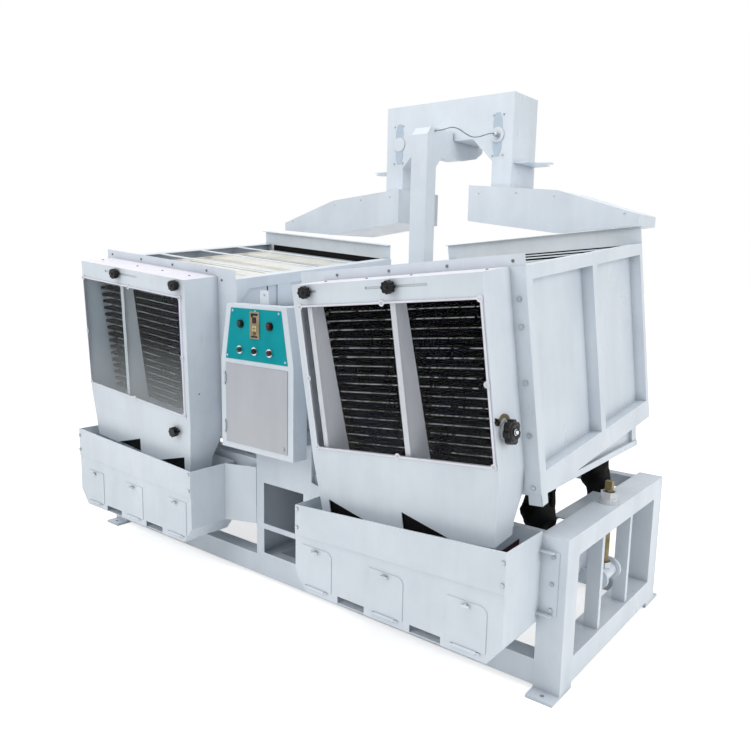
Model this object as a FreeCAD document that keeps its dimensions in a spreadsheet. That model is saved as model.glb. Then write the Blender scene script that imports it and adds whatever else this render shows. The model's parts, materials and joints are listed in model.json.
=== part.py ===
import FreeCAD, Part
import Sketcher
import math
import os
from types import SimpleNamespace

# Paddy separator with two tilting sieve bodies, in millimetres.
# X runs along the machine, Y from its discharge side to its feed side, Z up from the floor.
# Sizes that place things in depth are counted from the front face of the end frames.

SIZES = {
    # end frames, sills and rails
    "half_span": 1400, "frame_depth": 1030, "frame_height": 600,
    "leg_width": 105, "leg_depth": 103, "beam_height": 82, "tube_wall": 5,
    "sill_low": 20, "sill_height": 100, "sill_depth": 80, "sill_setback": 3,
    "foot_thick": 12, "foot_reach": 60, "foot_hole_radius": 9, "foot_hole_setback": 30,
    "bar_thick": 24, "bar_depth": 56, "bar_setback": 8, "first_bar": 350, "second_bar": 654,
    "shelf_reach": 66, "shelf_drop": 12, "shelf_lip": 26, "shelf_front": 236, "shelf_back": 640,
    "rail_depth": 50, "rail_height": 60, "rail_inset": 20, "rail_drop": 10,
    "centre_depth": 642,
    # centre tower
    "tower_half": 180, "tower_back": 860, "tower_top": 1320, "sheet": 4,
    "tower_window_half": 130, "upper_window_low": 287, "upper_window_high": 490,
    "lower_window_low": 140, "lower_window_high": 262, "rear_window_low": 180, "rear_window_high": 1100,
    "rod_window_front": 350, "rod_window_back": 550, "rod_window_low": 555, "rod_window_high": 700,
    # tilting cradles
    "hinge_x": 225, "hinge_z": 611, "tilt_angle": 5, "hinge_pin_radius": 18, "pin_clearance": 0.05,
    "cradle_beam": 80, "cradle_drop": 350, "cradle_front": 240, "cradle_back": 640, "cradle_end_gap": 45,
    "eye_radius": 38, "lug_thick": 14, "lug_gap": 2,
    # tilt screws
    "screw_inset": 53, "screw_y": 503, "screw_radius": 16, "screw_top": 690, "screw_slack": 8,
    "trunnion_z": 300, "trunnion_radius": 30, "trunnion_length": 150, "disc_radius": 46, "disc_thick": 12,
    "trunnion_clearance": 0.05,
    # rocker arms and boots
    "rocker_end_gap": 90, "rocker_inner": 170, "rocker_front": 160, "rocker_back": 720,
    "rocker_length": 276, "rocker_top": 4, "rocker_shaft_radius": 18, "arm_width": 34, "arm_thick": 26,
    "rocker_pin_radius": 12, "rocker_pin_slack": 0.8,
    "boot_radius": 56, "boot_height": 138, "boot_gap": 0.3,
    # sieve bodies
    "body_along": 657.5, "body_drop": 22.4, "pitch_angle": 5.4,
    "body_lap": 12.5, "body_inner": 600, "body_front": 16, "body_length": 1132, "body_top": 864,
    "body_low": 60, "inlet_reach": 200, "inlet_near": 150, "inlet_far": 310, "inlet_drop": 170, "inlet_rim": 10,
    "panel_recess": 52, "skin": 3,
    "front_post": 46, "rib_place": 550, "rib_width": 48, "rear_post": 32, "top_rail": 49, "low_rail": 83,
    "front_flange": 40, "front_flange_drop": 28, "rear_flange": 79,
    "carrier_low": 38.5, "carrier_width": 130, "carrier_plate": 25, "carrier_end": 955,
    "ladder_bar": 26, "ladder_thick": 4,
    # deck stacks
    "deck_pitch": 36, "deck_count": 19, "deck_thick": 1.5, "deck_lip": 14, "deck_margin": 12, "deck_slot": 55,
    "deck_nose": 132, "deck_setback": 6,
    "deck_first": 170, "deck_front": 64, "deck_step": 3.2,
    # hoods, windows and dividers
    "hood_inner": 476, "hood_inset": 57, "hood_depth": 203, "hood_low": 44,
    "hood_waist": 170, "hood_taper_inner": 14, "hood_taper_outer": 34, "hood_heel": 70,
    "window_inner": 437, "window_inset": 16, "window_low": 222, "window_high": 777,
    "pane_thick": 5, "pane_lap": 9, "slot_height": 836, "slot_width": 9,
    "slot_short_low": -440, "slot_short_high": -352, "slot_long_low": -112, "slot_long_high": 156,
    "divider_first_right": -394, "divider_first_left": -424, "divider_second_right": 6, "divider_second_left": 44,
    "divider_thick": 2, "divider_lip": 22, "divider_low": 20, "divider_high": 806, "divider_gap": 8,
    "knob_radius": 24, "knob_length": 24, "knob_neck": 9, "stud_radius": 4,
    "notch_first": -418, "notch_second": -56, "notch_width": 134, "notch_rise": 46,
    "wheel_along": 139, "wheel_height": 326, "wheel_reach": 16, "wheel_radius": 43, "wheel_hub": 17,
    "wheel_thick": 21, "wheel_finger": 12,
    "low_knob_along": -372, "low_knob_height": 126,
    # troughs
    "trough_inner": 341, "trough_inset": 99, "trough_depth": 263, "trough_top": 557, "trough_rise": 56,
    "seam_height": 431, "seam_rise": 34, "trough_low": 200, "trough_side_low": 275, "trough_chamfer": 59,
    "strip_thick": 4, "spout_notch": 135, "spout_notch_rise": 32, "spout_after": 112,
    "leg_flange": 70, "leg_tab": 22, "leg_flange_low": 310,
    "door_first": 459, "door_end_gap": 142, "door_width": 160, "door_low": 232, "door_high": 400,
    "door_corner": 28, "door_thick": 2.5, "door_gap": 0.3, "door_pin_radius": 3, "knuckle_wall": 2.5, "latch_drop": 13,
    # control box
    "control_half": 229, "control_top_half": 187, "control_low": 689, "control_shoulder": 1095,
    "control_rim": 16, "control_front": 165, "control_depth": 82,
    "hanger_along": -28, "hanger_half": 28, "hanger_rise": 62, "hanger_hole": 7,
    "cover_half": 196, "cover_low": 716, "cover_high": 1078, "cover_thick": 3,
    "cover_pin_reach": 6.5, "cover_pin_radius": 3, "cover_knuckle_radius": 6, "lock_inset": 22,
    "plate_low_half": 196, "plate_top_half": 157, "plate_low": 1100, "plate_rim": 68, "plate_thick": 2,
    "lamp_height": 1260, "lamp_spread": 92, "lamp_radius": 13, "lamp_reach": 12,
    "button_height": 1146, "button_spread": 94, "button_radius": 12, "bezel_radius": 18, "bezel_reach": 9,
    "button_reach": 6, "button_clearance": 0.4,
    "display_half": 29, "display_low": 1200, "display_high": 1317, "display_thick": 6,
    # feed column, arm and distribution box
    "column_half": 51, "column_front": 1020, "column_back": 1111, "arm_top": 2262,
    "arm_low": 2120, "arm_end": 1600, "duct_wall": 3,
    "head_half": 420, "head_front": 1282, "head_back": 1552, "head_low": 1966, "head_top": 2441,
    "head_leg": 119, "head_under": 2217, "head_gusset": 125,
    "head_inlet_setback": 135, "head_inlet_radius": 80,
    "gate_height": 2078, "gate_thick": 4, "gate_length": 182, "gate_out": 594, "gate_side": 22, "gate_grip": 70,
    "gate_grip_radius": 45,
    "sight_along": 328, "sight_low": 2118, "sight_high": 2342, "sight_half": 26, "sight_thick": 3,
    "sight_cover_radius": 40,
    "sensor_height": 2228, "sensor_radius": 13, "sensor_reach": 26,
    # feed chutes
    "chute_front": 1160, "chute_back": 1570, "chute_inner": 235, "chute_mid": 742, "chute_outer": 1163,
    "chute_inner_low": 1768, "chute_mid_low": 1700, "chute_outer_low": 1732,
    "chute_inner_high": 1957, "chute_mid_high": 1910, "chute_outer_high": 1782, "chute_taper": 190,
    # drive
    "drive_z": 611, "shaft_radius": 22, "throw": 8, "eccentric_radius": 40, "eccentric_width": 34,
    "right_rod_y": 410, "left_rod_y": 490, "ring_gap": 17.5, "ring_wall": 14, "rod_thick": 28, "rod_height": 36,
    "rod_pin_along": 70, "rod_pin_radius": 12, "rod_pin_clearance": 0.05,
    "front_bearing": 300, "back_bearing": 600, "bearing_width": 44, "bearing_clearance": 0.05,
    "flywheel_y": 720, "flywheel_radius": 120, "flywheel_width": 56, "flywheel_rim": 18,
    "motor_z": 265, "motor_radius": 92, "motor_length": 270, "motor_front": 390, "motor_shaft_radius": 14,
    "motor_pulley_radius": 48, "belt_thick": 8, "belt_width": 13, "belt_step": 17,
}


class Measure:
    # A size that carries both its number and the formula it came from.
    def __init__(self, value, text):
        self.value, self.text = value, text

    def __add__(self, other):
        return joined(self, other, "+")

    def __radd__(self, other):
        return joined(other, self, "+")

    def __sub__(self, other):
        return joined(self, other, "-")

    def __rsub__(self, other):
        return joined(other, self, "-")

    def __mul__(self, other):
        return joined(self, other, "*")

    def __rmul__(self, other):
        return joined(other, self, "*")

    def __truediv__(self, other):
        return joined(self, other, "/")

    def __neg__(self):
        return joined(0, self, "-")


OPERATIONS = {"+": lambda a, b: a + b, "-": lambda a, b: a - b, "*": lambda a, b: a * b, "/": lambda a, b: a / b}


def number(size):
    return size.value if isinstance(size, Measure) else size


def formula(size):
    return size.text if isinstance(size, Measure) else f"({size})"


def joined(left, right, sign):
    value = OPERATIONS[sign](number(left), number(right))
    return Measure(value, f"({formula(left)} {sign} {formula(right)})")


def turned(name, size):
    # The sine, cosine or tangent of an angle that is given in degrees.
    return Measure(getattr(math, name)(math.radians(number(size))), f"{name}({formula(size)} * 1 deg)")


doc = FreeCAD.newDocument("paddy_separator")
sheet = doc.addObject("Spreadsheet::Sheet", "Sizes")
for row, (alias, value) in enumerate(SIZES.items(), start=1):
    sheet.set(f"A{row}", alias)
    sheet.set(f"B{row}", str(value))
    sheet.setAlias(f"B{row}", alias)
doc.recompute()
s = SimpleNamespace(**{alias: Measure(value, f"Sizes.{alias}") for alias, value in SIZES.items()})

# Places that follow from the machine's length: how far the cradles, bodies, hoods and troughs reach.
s.end_reach = s.half_span - s.leg_width - s.hinge_x
s.cradle_length = s.end_reach - s.cradle_end_gap
s.rocker_outer = s.end_reach - s.rocker_end_gap
s.body_outer = s.end_reach + s.body_lap - s.body_along
s.hood_outer = s.body_outer - s.hood_inset
s.window_outer = s.hood_outer - s.window_inset
s.screw_x = s.half_span - s.screw_inset
s.trough_outer = s.half_span - s.trough_inset
s.door_step = (s.trough_outer - s.door_first - s.door_end_gap) / 2
# The control plate ends above its lamps, and the box above the plate.
s.plate_high = s.lamp_height + s.plate_rim
s.control_top = s.plate_high + s.control_rim

nodes = []
serial = {}


def fresh(name):
    # Inner features share a stem and are told apart by a count.
    serial[name] = serial.get(name, 0) + 1
    return f"{name}_{serial[name]}"


def add(kind, name):
    return doc.addObject(kind, fresh(name))


def bind(feature, prop, size):
    feature.setExpression(prop, formula(size))


def place(feature, x=0, y=0, z=0):
    for axis, size in (("x", x), ("y", y), ("z", z)):
        bind(feature, f"Placement.Base.{axis}", size)
    return feature


def block(name, x, y, z):
    # A box between two places on each axis.
    box = add("Part::Box", name)
    bind(box, "Length", x[1] - x[0])
    bind(box, "Width", y[1] - y[0])
    bind(box, "Height", z[1] - z[0])
    return place(box, x[0], y[0], z[0])


TURNS = {"x": (FreeCAD.Vector(0, 1, 0), 90), "y": (FreeCAD.Vector(1, 0, 0), -90), "z": (FreeCAD.Vector(0, 0, 1), 0)}


def rod(name, axis, centre, radius, span):
    # A round bar along one axis; centre gives its place on the other two, in the order x, y, z.
    bar = add("Part::Cylinder", name)
    bind(bar, "Radius", radius)
    bind(bar, "Height", span[1] - span[0])
    bar.Placement = FreeCAD.Placement(FreeCAD.Vector(), FreeCAD.Rotation(*TURNS[axis]))
    spot = {"x": (span[0], centre[0], centre[1]), "y": (centre[0], span[0], centre[1]),
            "z": (centre[0], centre[1], span[0])}[axis]
    return place(bar, *spot)


def cone(name, axis, centre, radii, span):
    bar = add("Part::Cone", name)
    bind(bar, "Radius1", radii[0])
    bind(bar, "Radius2", radii[1])
    bind(bar, "Height", span[1] - span[0])
    bar.Placement = FreeCAD.Placement(FreeCAD.Vector(), FreeCAD.Rotation(*TURNS[axis]))
    spot = {"x": (span[0], centre[0], centre[1]), "y": (centre[0], span[0], centre[1]),
            "z": (centre[0], centre[1], span[0])}[axis]
    return place(bar, *spot)


def origin_plane(body, role):
    return next(item for item in body.Origin.OriginFeatures if item.Role == role)


def sketch_on(body, role, offset):
    sketch = body.newObject("Sketcher::SketchObject", fresh("outline"))
    sketch.AttachmentSupport = [(origin_plane(body, role), "")]
    sketch.MapMode = "FlatFace"
    bind(sketch, "AttachmentOffset.Base.z", offset)
    return sketch


def draw(sketch, points):
    # A closed outline whose every corner is held by the sheet.
    places = [FreeCAD.Vector(number(x), number(y), 0) for x, y in points]
    lines = [sketch.addGeometry(Part.LineSegment(a, b)) for a, b in zip(places, places[1:] + places[:1])]
    for this_line, next_line in zip(lines, lines[1:] + lines[:1]):
        sketch.addConstraint(constraint("Coincident", this_line, 2, next_line, 1))
    for line, (x, y) in zip(lines, points):
        for kind, size in (("DistanceX", x), ("DistanceY", y)):
            index = sketch.addConstraint(constraint(kind, -1, 1, line, 1, number(size)))
            sketch.setExpression(f"Constraints[{index}]", formula(size))


def constraint(*words):
    return Sketcher.Constraint(*words)


def prism(name, plane, points, span):
    # A body padded from a closed outline; plane "xz" looks along Y, "yz" along X, "xy" down.
    body = add("PartDesign::Body", name)
    role = {"xy": "XY_Plane", "xz": "XZ_Plane", "yz": "YZ_Plane"}[plane]
    start = -span[1] if plane == "xz" else span[0]
    sketch = sketch_on(body, role, start)
    draw(sketch, points)
    pad = body.newObject("PartDesign::Pad", fresh("pad"))
    pad.Profile = sketch
    bind(pad, "Length", span[1] - span[0])
    return body


def fuse(name, shapes):
    if len(shapes) == 1:
        return shapes[0]
    whole = add("Part::MultiFuse", name)
    whole.Shapes = shapes
    whole.Refine = True
    return whole


def cut(name, base, tools):
    rest = add("Part::Cut", name)
    rest.Base = base
    rest.Tool = fuse(name + "_tool", tools)
    return rest


def group(name, shapes):
    several = add("Part::Compound", name)
    several.Links = shapes
    return several


def inset(span, wall):
    return span[0] + wall, span[1] - wall


def around(middle, half):
    return middle - half, middle + half


def pitched(name, shapes):
    # Shapes drawn square to a sieve body, set at its slope towards the discharge side.
    turned_body = group(name, shapes)
    turned_body.Placement = FreeCAD.Placement(FreeCAD.Vector(), FreeCAD.Rotation(FreeCAD.Vector(1, 0, 0), 1))
    bind(turned_body, "Placement.Rotation.Angle", s.pitch_angle)
    return place(turned_body, s.body_along, 0, -s.body_drop)


def node(label, shapes, tilted=False):
    # One sub-part; a tilted one is drawn from its cradle's hinge.
    part = doc.addObject("Part::Compound", label)
    part.Label = label
    part.Links = shapes
    if tilted:
        part.Placement = FreeCAD.Placement(FreeCAD.Vector(), FreeCAD.Rotation(FreeCAD.Vector(0, -1, 0), 1))
        bind(part, "Placement.Rotation.Angle", s.tilt_angle)
        place(part, s.hinge_x, -s.centre_depth, s.hinge_z)
    else:
        place(part, 0, -s.centre_depth, 0)
    nodes.append(part)
    return part


def mirrored(label, source):
    # The same piece on the other side of the machine.
    part = doc.addObject("Part::Mirroring", label)
    part.Label = label
    part.Source = source
    part.Normal = FreeCAD.Vector(1, 0, 0)
    nodes.append(part)
    return part


def welded(name, boxes, wall):
    # Box section tubes joined into one frame, hollow inside.
    outer = fuse(name, [block(name, *box) for box, _ in boxes])
    hollow = [block(name + "_hollow", *[span if axis == along else inset(span, wall)
              for axis, span in zip("xyz", box)]) for box, along in boxes]
    return cut(name, outer, hollow)


def foot_plate(front, back, hole_y):
    plate = block("foot", (s.half_span - s.leg_width, s.half_span), (front, back), (0, s.foot_thick))
    hole = rod("foot_hole", "z", (s.half_span - s.leg_width / 2, hole_y), s.foot_hole_radius,
               (-1, s.foot_thick + 1))
    return cut("foot", plate, [hole])


def end_frame():
    across = (s.half_span - s.leg_width, s.half_span)
    rail_z = (s.sill_low + 6, s.sill_low + s.sill_height + 7)
    between = (s.leg_depth, s.frame_depth - s.leg_depth)
    leg_z = (s.foot_thick, s.frame_height)
    frame = welded("end_frame", [
        ((across, (0, s.leg_depth), leg_z), None),
        ((across, (between[1], s.frame_depth), leg_z), None),
        ((across, between, (s.frame_height - s.beam_height, s.frame_height)), "y"),
        ((across, between, rail_z), "y")], s.tube_wall)
    bar_x = (s.half_span - s.bar_setback - s.bar_depth, s.half_span - s.bar_setback)
    bars = [block("bar", bar_x, (y, y + s.bar_thick), (rail_z[1], s.frame_height - s.beam_height))
            for y in (s.first_bar, s.second_bar)]
    # A folded shelf along the inner side of the top beam, beside the cradle.
    shelf_top = s.frame_height - s.shelf_drop
    shelf = [block("shelf", (across[0] - s.shelf_reach, across[0]), (s.shelf_front, s.shelf_back),
                   (shelf_top - s.sheet, shelf_top)),
             block("shelf_lip", (across[0] - s.shelf_reach, across[0] - s.shelf_reach + s.sheet),
                   (s.shelf_front, s.shelf_back), (shelf_top - s.shelf_lip, shelf_top))]
    feet = [foot_plate(-s.foot_reach, s.leg_depth, s.foot_hole_setback - s.foot_reach),
            foot_plate(between[1], s.frame_depth + s.foot_reach, s.frame_depth + s.foot_reach - s.foot_hole_setback)]
    screw_hole = rod("screw_hole", "z", (s.screw_x, s.screw_y), s.screw_radius + s.screw_slack,
                     (s.frame_height - s.beam_height - 1, s.frame_height + 1))
    return cut("end_frame", fuse("end_frame", [frame] + bars + shelf + feet), [screw_hole])


def base_frame():
    # Sills on the floor side, cross members under the hinges, and rails between tower and end frames.
    inner = s.half_span - s.leg_width
    sill_z = (s.sill_low, s.sill_low + s.sill_height)
    front = (s.sill_setback, s.sill_setback + s.sill_depth)
    back = (s.frame_depth - s.sill_setback - s.sill_depth, s.frame_depth - s.sill_setback)
    tubes = [(((-inner, inner), front, sill_z), "x"), (((-inner, inner), back, sill_z), "x")]
    for side in (-1, 1):
        middle = side * s.tower_half - side * s.cradle_beam / 2
        tubes.append(((around(middle, s.cradle_beam / 2), (front[1], back[0]), sill_z), "y"))
    sills = welded("sills", tubes, s.tube_wall)
    stub = welded("column_stub", [((around(0, s.column_half + 20), (back[1], s.column_back + 20),
                                    sill_z), "y")], s.tube_wall)
    rail_z = (s.frame_height - s.rail_drop - s.rail_height, s.frame_height - s.rail_drop)
    rails = []
    for side in (-1, 1):
        for low in (s.rail_inset, s.frame_depth - s.rail_inset - s.rail_depth):
            ends = (s.tower_half, inner) if side == 1 else (-inner, -s.tower_half)
            rails.append(welded("rail", [((ends, (low, low + s.rail_depth), rail_z), "x")], s.tube_wall))
    return [fuse("base", [sills, stub])] + rails


def tower():
    outside = ((-s.tower_half, s.tower_half), (0, s.tower_back), (s.sill_low + s.sill_height, s.tower_top))
    shell = block("tower", *outside)
    inside = block("tower_inside", inset(outside[0], s.sheet), inset(outside[1], s.sheet),
                   (outside[2][0] - 1, s.tower_top - s.sheet))
    window = around(0, s.tower_window_half)
    past_front = (-s.sheet, 2 * s.sheet)
    past_back = (s.tower_back - 2 * s.sheet, s.tower_back + s.sheet)
    past_sides = (-s.tower_half - s.sheet, s.tower_half + s.sheet)
    openings = [
        block("upper_window", window, past_front, (s.upper_window_low, s.upper_window_high)),
        block("lower_window", window, past_front, (s.lower_window_low, s.lower_window_high)),
        block("rear_window", window, past_back, (s.rear_window_low, s.rear_window_high)),
        block("rod_window", past_sides, (s.rod_window_front, s.rod_window_back),
              (s.rod_window_low, s.rod_window_high))]
    return cut("tower", shell, [inside] + openings)


def cradle_pivots():
    # Brackets on the tower's sides, each holding a pin that a cradle post turns on.
    shapes = []
    for side in (1, -1):
        for low in (s.cradle_front, s.cradle_back - s.cradle_beam):
            span = (low - s.lug_gap - s.lug_thick, low + s.cradle_beam + s.lug_gap + s.lug_thick)
            reach = (s.tower_half, s.hinge_x + s.eye_radius) if side == 1 else (-s.hinge_x - s.eye_radius, -s.tower_half)
            lugs = [block("pivot_lug", reach, y, (s.hinge_z - s.eye_radius, s.hinge_z + s.eye_radius))
                    for y in ((span[0], span[0] + s.lug_thick), (span[1] - s.lug_thick, span[1]))]
            pin = rod("pivot_pin", "y", (side * s.hinge_x, s.hinge_z), s.hinge_pin_radius,
                      (span[0] - s.lug_gap, span[1] + s.lug_gap))
            shapes.append(fuse("pivot", lugs + [pin]))
    return shapes


def cradle():
    # Drawn from the hinge: x along the cradle, z square to it.
    beam_z = (-s.cradle_drop - s.cradle_beam / 2, -s.cradle_drop + s.cradle_beam / 2)
    beams_y = [(s.cradle_front, s.cradle_front + s.cradle_beam), (s.cradle_back - s.cradle_beam, s.cradle_back)]
    half = s.cradle_beam / 2
    tubes = []
    for y in beams_y:
        tubes.append((((-half, s.cradle_length), y, beam_z), "x"))
        tubes.append(((((-half), half), y, (beam_z[1], -s.eye_radius)), "z"))
    for low in (half, s.cradle_length - s.cradle_beam):
        tubes.append((((low, low + s.cradle_beam), (beams_y[0][1], beams_y[1][0]), beam_z), "y"))
    frame = welded("cradle", tubes, s.tube_wall)
    eyes = [rod("cradle_eye", "y", (0, 0), s.eye_radius, y) for y in beams_y]
    necks = [block("cradle_neck", (-s.eye_radius, s.eye_radius), y, (-s.eye_radius - s.tube_wall, 0))
             for y in beams_y]
    bore = rod("cradle_bore", "y", (0, 0), s.hinge_pin_radius + s.pin_clearance,
               (s.cradle_front - 1, s.cradle_back + 1))
    arms, arm_bore = trunnion_arms()
    bearings, bearing_bores = rocker_bearings(beam_z[1])
    return cut("cradle", fuse("cradle", [frame] + eyes + necks + arms + bearings), [bore, arm_bore] + bearing_bores)


def from_hinge(x, z):
    # Where a place of the machine lies, seen from the tilted cradle's hinge.
    c, d = turned("cos", s.tilt_angle), turned("sin", s.tilt_angle)
    return (x - s.hinge_x) * c + (z - s.hinge_z) * d, (z - s.hinge_z) * c - (x - s.hinge_x) * d


def trunnion_arms():
    # Two cheeks on the outer cross tube that hold the trunnion's ends.
    along, up = from_hinge(s.screw_x, s.trunnion_z)
    shapes = []
    for end in (s.screw_y - s.trunnion_length / 2, s.screw_y + s.trunnion_length / 2 - s.disc_thick):
        y = (end, end + s.disc_thick)
        disc = rod("trunnion_disc", "y", (along, up), s.disc_radius, y)
        cheek = block("trunnion_cheek", (s.cradle_length - s.cradle_beam, along), y, around(up, s.trunnion_radius))
        riser = block("trunnion_riser", (s.cradle_length - s.cradle_beam, s.cradle_length - s.tube_wall), y,
                      (up - s.trunnion_radius, -s.cradle_drop))
        shapes += [disc, cheek, riser]
    bore = rod("trunnion_bore", "y", (along, up), s.hinge_pin_radius + s.trunnion_clearance,
               (s.screw_y - s.trunnion_length, s.screw_y + s.trunnion_length))
    return shapes, bore


def rocker_bearings(top):
    shapes, bores = [], []
    low = s.rocker_top - s.rocker_length
    half = s.rocker_shaft_radius + 14
    for along in (s.rocker_inner, s.rocker_outer):
        for y in ((s.cradle_front + 20, s.cradle_front + 60), (s.cradle_back - 60, s.cradle_back - 20)):
            shapes.append(block("rocker_bearing", around(along, half), y, (top - s.tube_wall, low + half - 4)))
        bores.append(rod("rocker_bore", "y", (along, low), s.rocker_shaft_radius + s.pin_clearance,
                         (s.cradle_front, s.cradle_back)))
    return shapes, bores


def rocker(along):
    # A cross shaft with an arm at each end, whose eyes carry the sieve body.
    low, high = s.rocker_top - s.rocker_length, s.rocker_top
    shaft = rod("rocker_shaft", "y", (along, low), s.rocker_shaft_radius,
                (s.rocker_front - s.arm_thick / 2, s.rocker_back + s.arm_thick / 2))
    solids = [shaft]
    for y in (s.rocker_front, s.rocker_back):
        across = around(y, s.arm_thick / 2)
        solids.append(block("rocker_arm", around(along, s.arm_width / 2), across, (low, high)))
        for level, radius in ((low, s.rocker_shaft_radius + 12), (high, s.rocker_pin_radius + 12)):
            solids.append(rod("rocker_eye", "y", (along, level), radius, across))
    bores = [rod("rocker_eye_bore", "y", (along, high), s.rocker_pin_radius + s.rocker_pin_slack,
                 (s.rocker_front - s.arm_thick, s.rocker_back + s.arm_thick))]
    arms = cut("rocker", fuse("rocker", solids), bores)
    return [arms]


def boot(along, y):
    # A rubber bellows round a rocker arm, open at its foot and its crown.
    crown = s.rocker_top - s.rocker_pin_radius - 16
    foot = crown - s.boot_height
    rings = 3
    step = (crown - foot) / (2 * rings)
    wide, narrow = s.boot_radius, s.boot_radius - 14
    parts = []
    for ring in range(rings):
        base = foot + 2 * ring * step
        parts.append(cone("boot", "z", (along, y), (narrow, wide), (base, base + step)))
        parts.append(cone("boot", "z", (along, y), (wide, narrow), (base + step, base + 2 * step)))
    hole = block("boot_hole", around(along, s.arm_width / 2 + s.boot_gap),
                 around(y, s.arm_thick / 2 + s.boot_gap), (foot - 1, crown + 1))
    return cut("boot", fuse("boot", parts), [hole])


def boots():
    return [boot(s.rocker_outer, y) for y in (s.rocker_front, s.rocker_back)]


def tilt_screw():
    # A threaded rod with a square head, fixed in a trunnion between the cradle's cheeks.
    inner = (s.screw_y - s.trunnion_length / 2 + s.disc_thick + 1, s.screw_y + s.trunnion_length / 2 - s.disc_thick - 1)
    tube = rod("trunnion", "y", (s.screw_x, s.trunnion_z), s.trunnion_radius, inner)
    pins = rod("trunnion_pin", "y", (s.screw_x, s.trunnion_z), s.hinge_pin_radius,
               (s.screw_y - s.trunnion_length / 2 - 3, s.screw_y + s.trunnion_length / 2 + 3))
    shank = rod("screw", "z", (s.screw_x, s.screw_y), s.screw_radius, (s.trunnion_z, s.screw_top - 34))
    head = block("screw_head", around(s.screw_x, 14), around(s.screw_y, 14), (s.screw_top - 34, s.screw_top))
    nut = hexagon("screw_nut", (s.screw_x, s.screw_y), 27, (s.trunnion_z + s.trunnion_radius - 2,
                                                           s.trunnion_z + s.trunnion_radius + 22))
    return [fuse("tilt_screw", [tube, pins, shank, head, nut])]


def hexagon(name, centre, radius, span):
    nut = add("Part::Prism", name)
    nut.Polygon = 6
    bind(nut, "Circumradius", radius)
    bind(nut, "Height", span[1] - span[0])
    return place(nut, centre[0], centre[1], span[0])


def lock_nut():
    # The flanged nut that stands on the end frame's top beam round the screw.
    bottom = s.frame_height
    flange = rod("lock_flange", "z", (s.screw_x, s.screw_y), 42, (bottom, bottom + 9))
    collar = rod("lock_collar", "z", (s.screw_x, s.screw_y), 36, (bottom + 9, bottom + 22))
    nut = hexagon("lock_nut", (s.screw_x, s.screw_y), 34, (bottom + 22, bottom + 46))
    hole = rod("lock_hole", "z", (s.screw_x, s.screw_y), s.screw_radius + s.screw_slack, (bottom - 1, bottom + 50))
    return cut("lock_nut", fuse("lock_nut", [flange, collar, nut]), [hole])


def side_frame():
    # The outer side: folded sheet with two recessed panels between posts.
    deep = (s.body_outer - s.panel_recess, s.body_outer)
    along = (-s.body_front, s.body_length)
    high = (s.body_low, s.body_top)
    bays = [((s.front_post - s.body_front, s.rib_place), (s.body_low + s.low_rail, s.body_top - s.top_rail)),
            ((s.rib_place + s.rib_width, s.body_length - s.rear_post),
             (s.body_low + s.low_rail, s.body_top - s.top_rail))]
    plain = block("side", deep, along, high)
    recesses = [block("recess", (deep[0] + s.skin, deep[1] + 1), y, z) for y, z in bays]
    back = block("side_back", (deep[0] - 1, deep[1] - s.skin), inset(along, s.skin), inset(high, s.skin))
    kept = [block("recess_skin", (deep[0] - 2, deep[1] + 2), (y[0] - s.skin, y[1] + s.skin),
                  (z[0] - s.skin, z[1] + s.skin)) for y, z in bays]
    return cut("side", plain, recesses + [cut("side_back", back, kept)])


def body_shell():
    inner, outer = -s.body_inner, s.body_outer - s.panel_recess + s.skin
    front, back = -s.body_front, s.body_length
    walls = [
        side_frame(),
        block("inner_side", (inner, inner + s.skin), (front, back), (s.body_low, s.body_top)),
        block("rear_wall", (inner, outer), (back - s.skin, back), (s.body_low, s.body_top)),
        block("front_flange", (inner, s.body_outer), (front, front + s.skin),
              (s.body_top - s.front_flange_drop, s.body_top + s.front_flange)),
        block("rear_flange", (inner, s.body_outer), (back - s.skin, back), (s.body_top - s.skin,
                                                                             s.body_top + s.rear_flange)),
        block("rear_lip", (inner, s.body_outer), (back - s.rear_post, back), (s.body_top + s.rear_flange - s.skin,
                                                                              s.body_top + s.rear_flange)),
        block("front_sill", (inner, outer), (front, front + s.front_post), (s.body_low, s.body_low + s.low_rail)),
        block("front_close", (inner, s.skin - s.hood_inner), (front, front + s.skin), (s.body_low, s.body_top)),
        block("top_edge", (inner, inner + s.top_rail), (front, back), (s.body_top - s.skin, s.body_top))]
    bars = [block("ladder_bar", (inner, outer), around(s.body_length * share, s.ladder_bar / 2),
                  (s.body_top - s.ladder_thick, s.body_top)) for share in (0.25, 0.5, 0.75)]
    cross = [block("deck_bearer", (inner, outer), around(s.body_length * share, s.front_post / 2),
                   (s.body_low, s.body_low + s.low_rail / 2)) for share in (0.3, 0.7)]
    hopper = cut("inlet_hopper", block("inlet", (s.inlet_near, s.inlet_far), (back - s.skin, back + s.inlet_reach),
                                       (s.body_top - s.inlet_drop, s.body_top - s.inlet_rim)),
                 [block("inlet_inside", (s.inlet_near + s.skin, s.inlet_far - s.skin),
                        (back - 2 * s.skin, back + s.inlet_reach - s.skin),
                        (s.body_top - s.inlet_drop + s.skin, s.body_top))])
    return fuse("body_shell", walls + bars + cross + [hopper])


def body_bottom(along):
    # Height of the pitched body's underside above the hinge, at a place counted along the machine's depth.
    cosine, tangent = turned("cos", s.pitch_angle), turned("tan", s.pitch_angle)
    return s.body_low / cosine - s.body_drop + along * tangent


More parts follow.
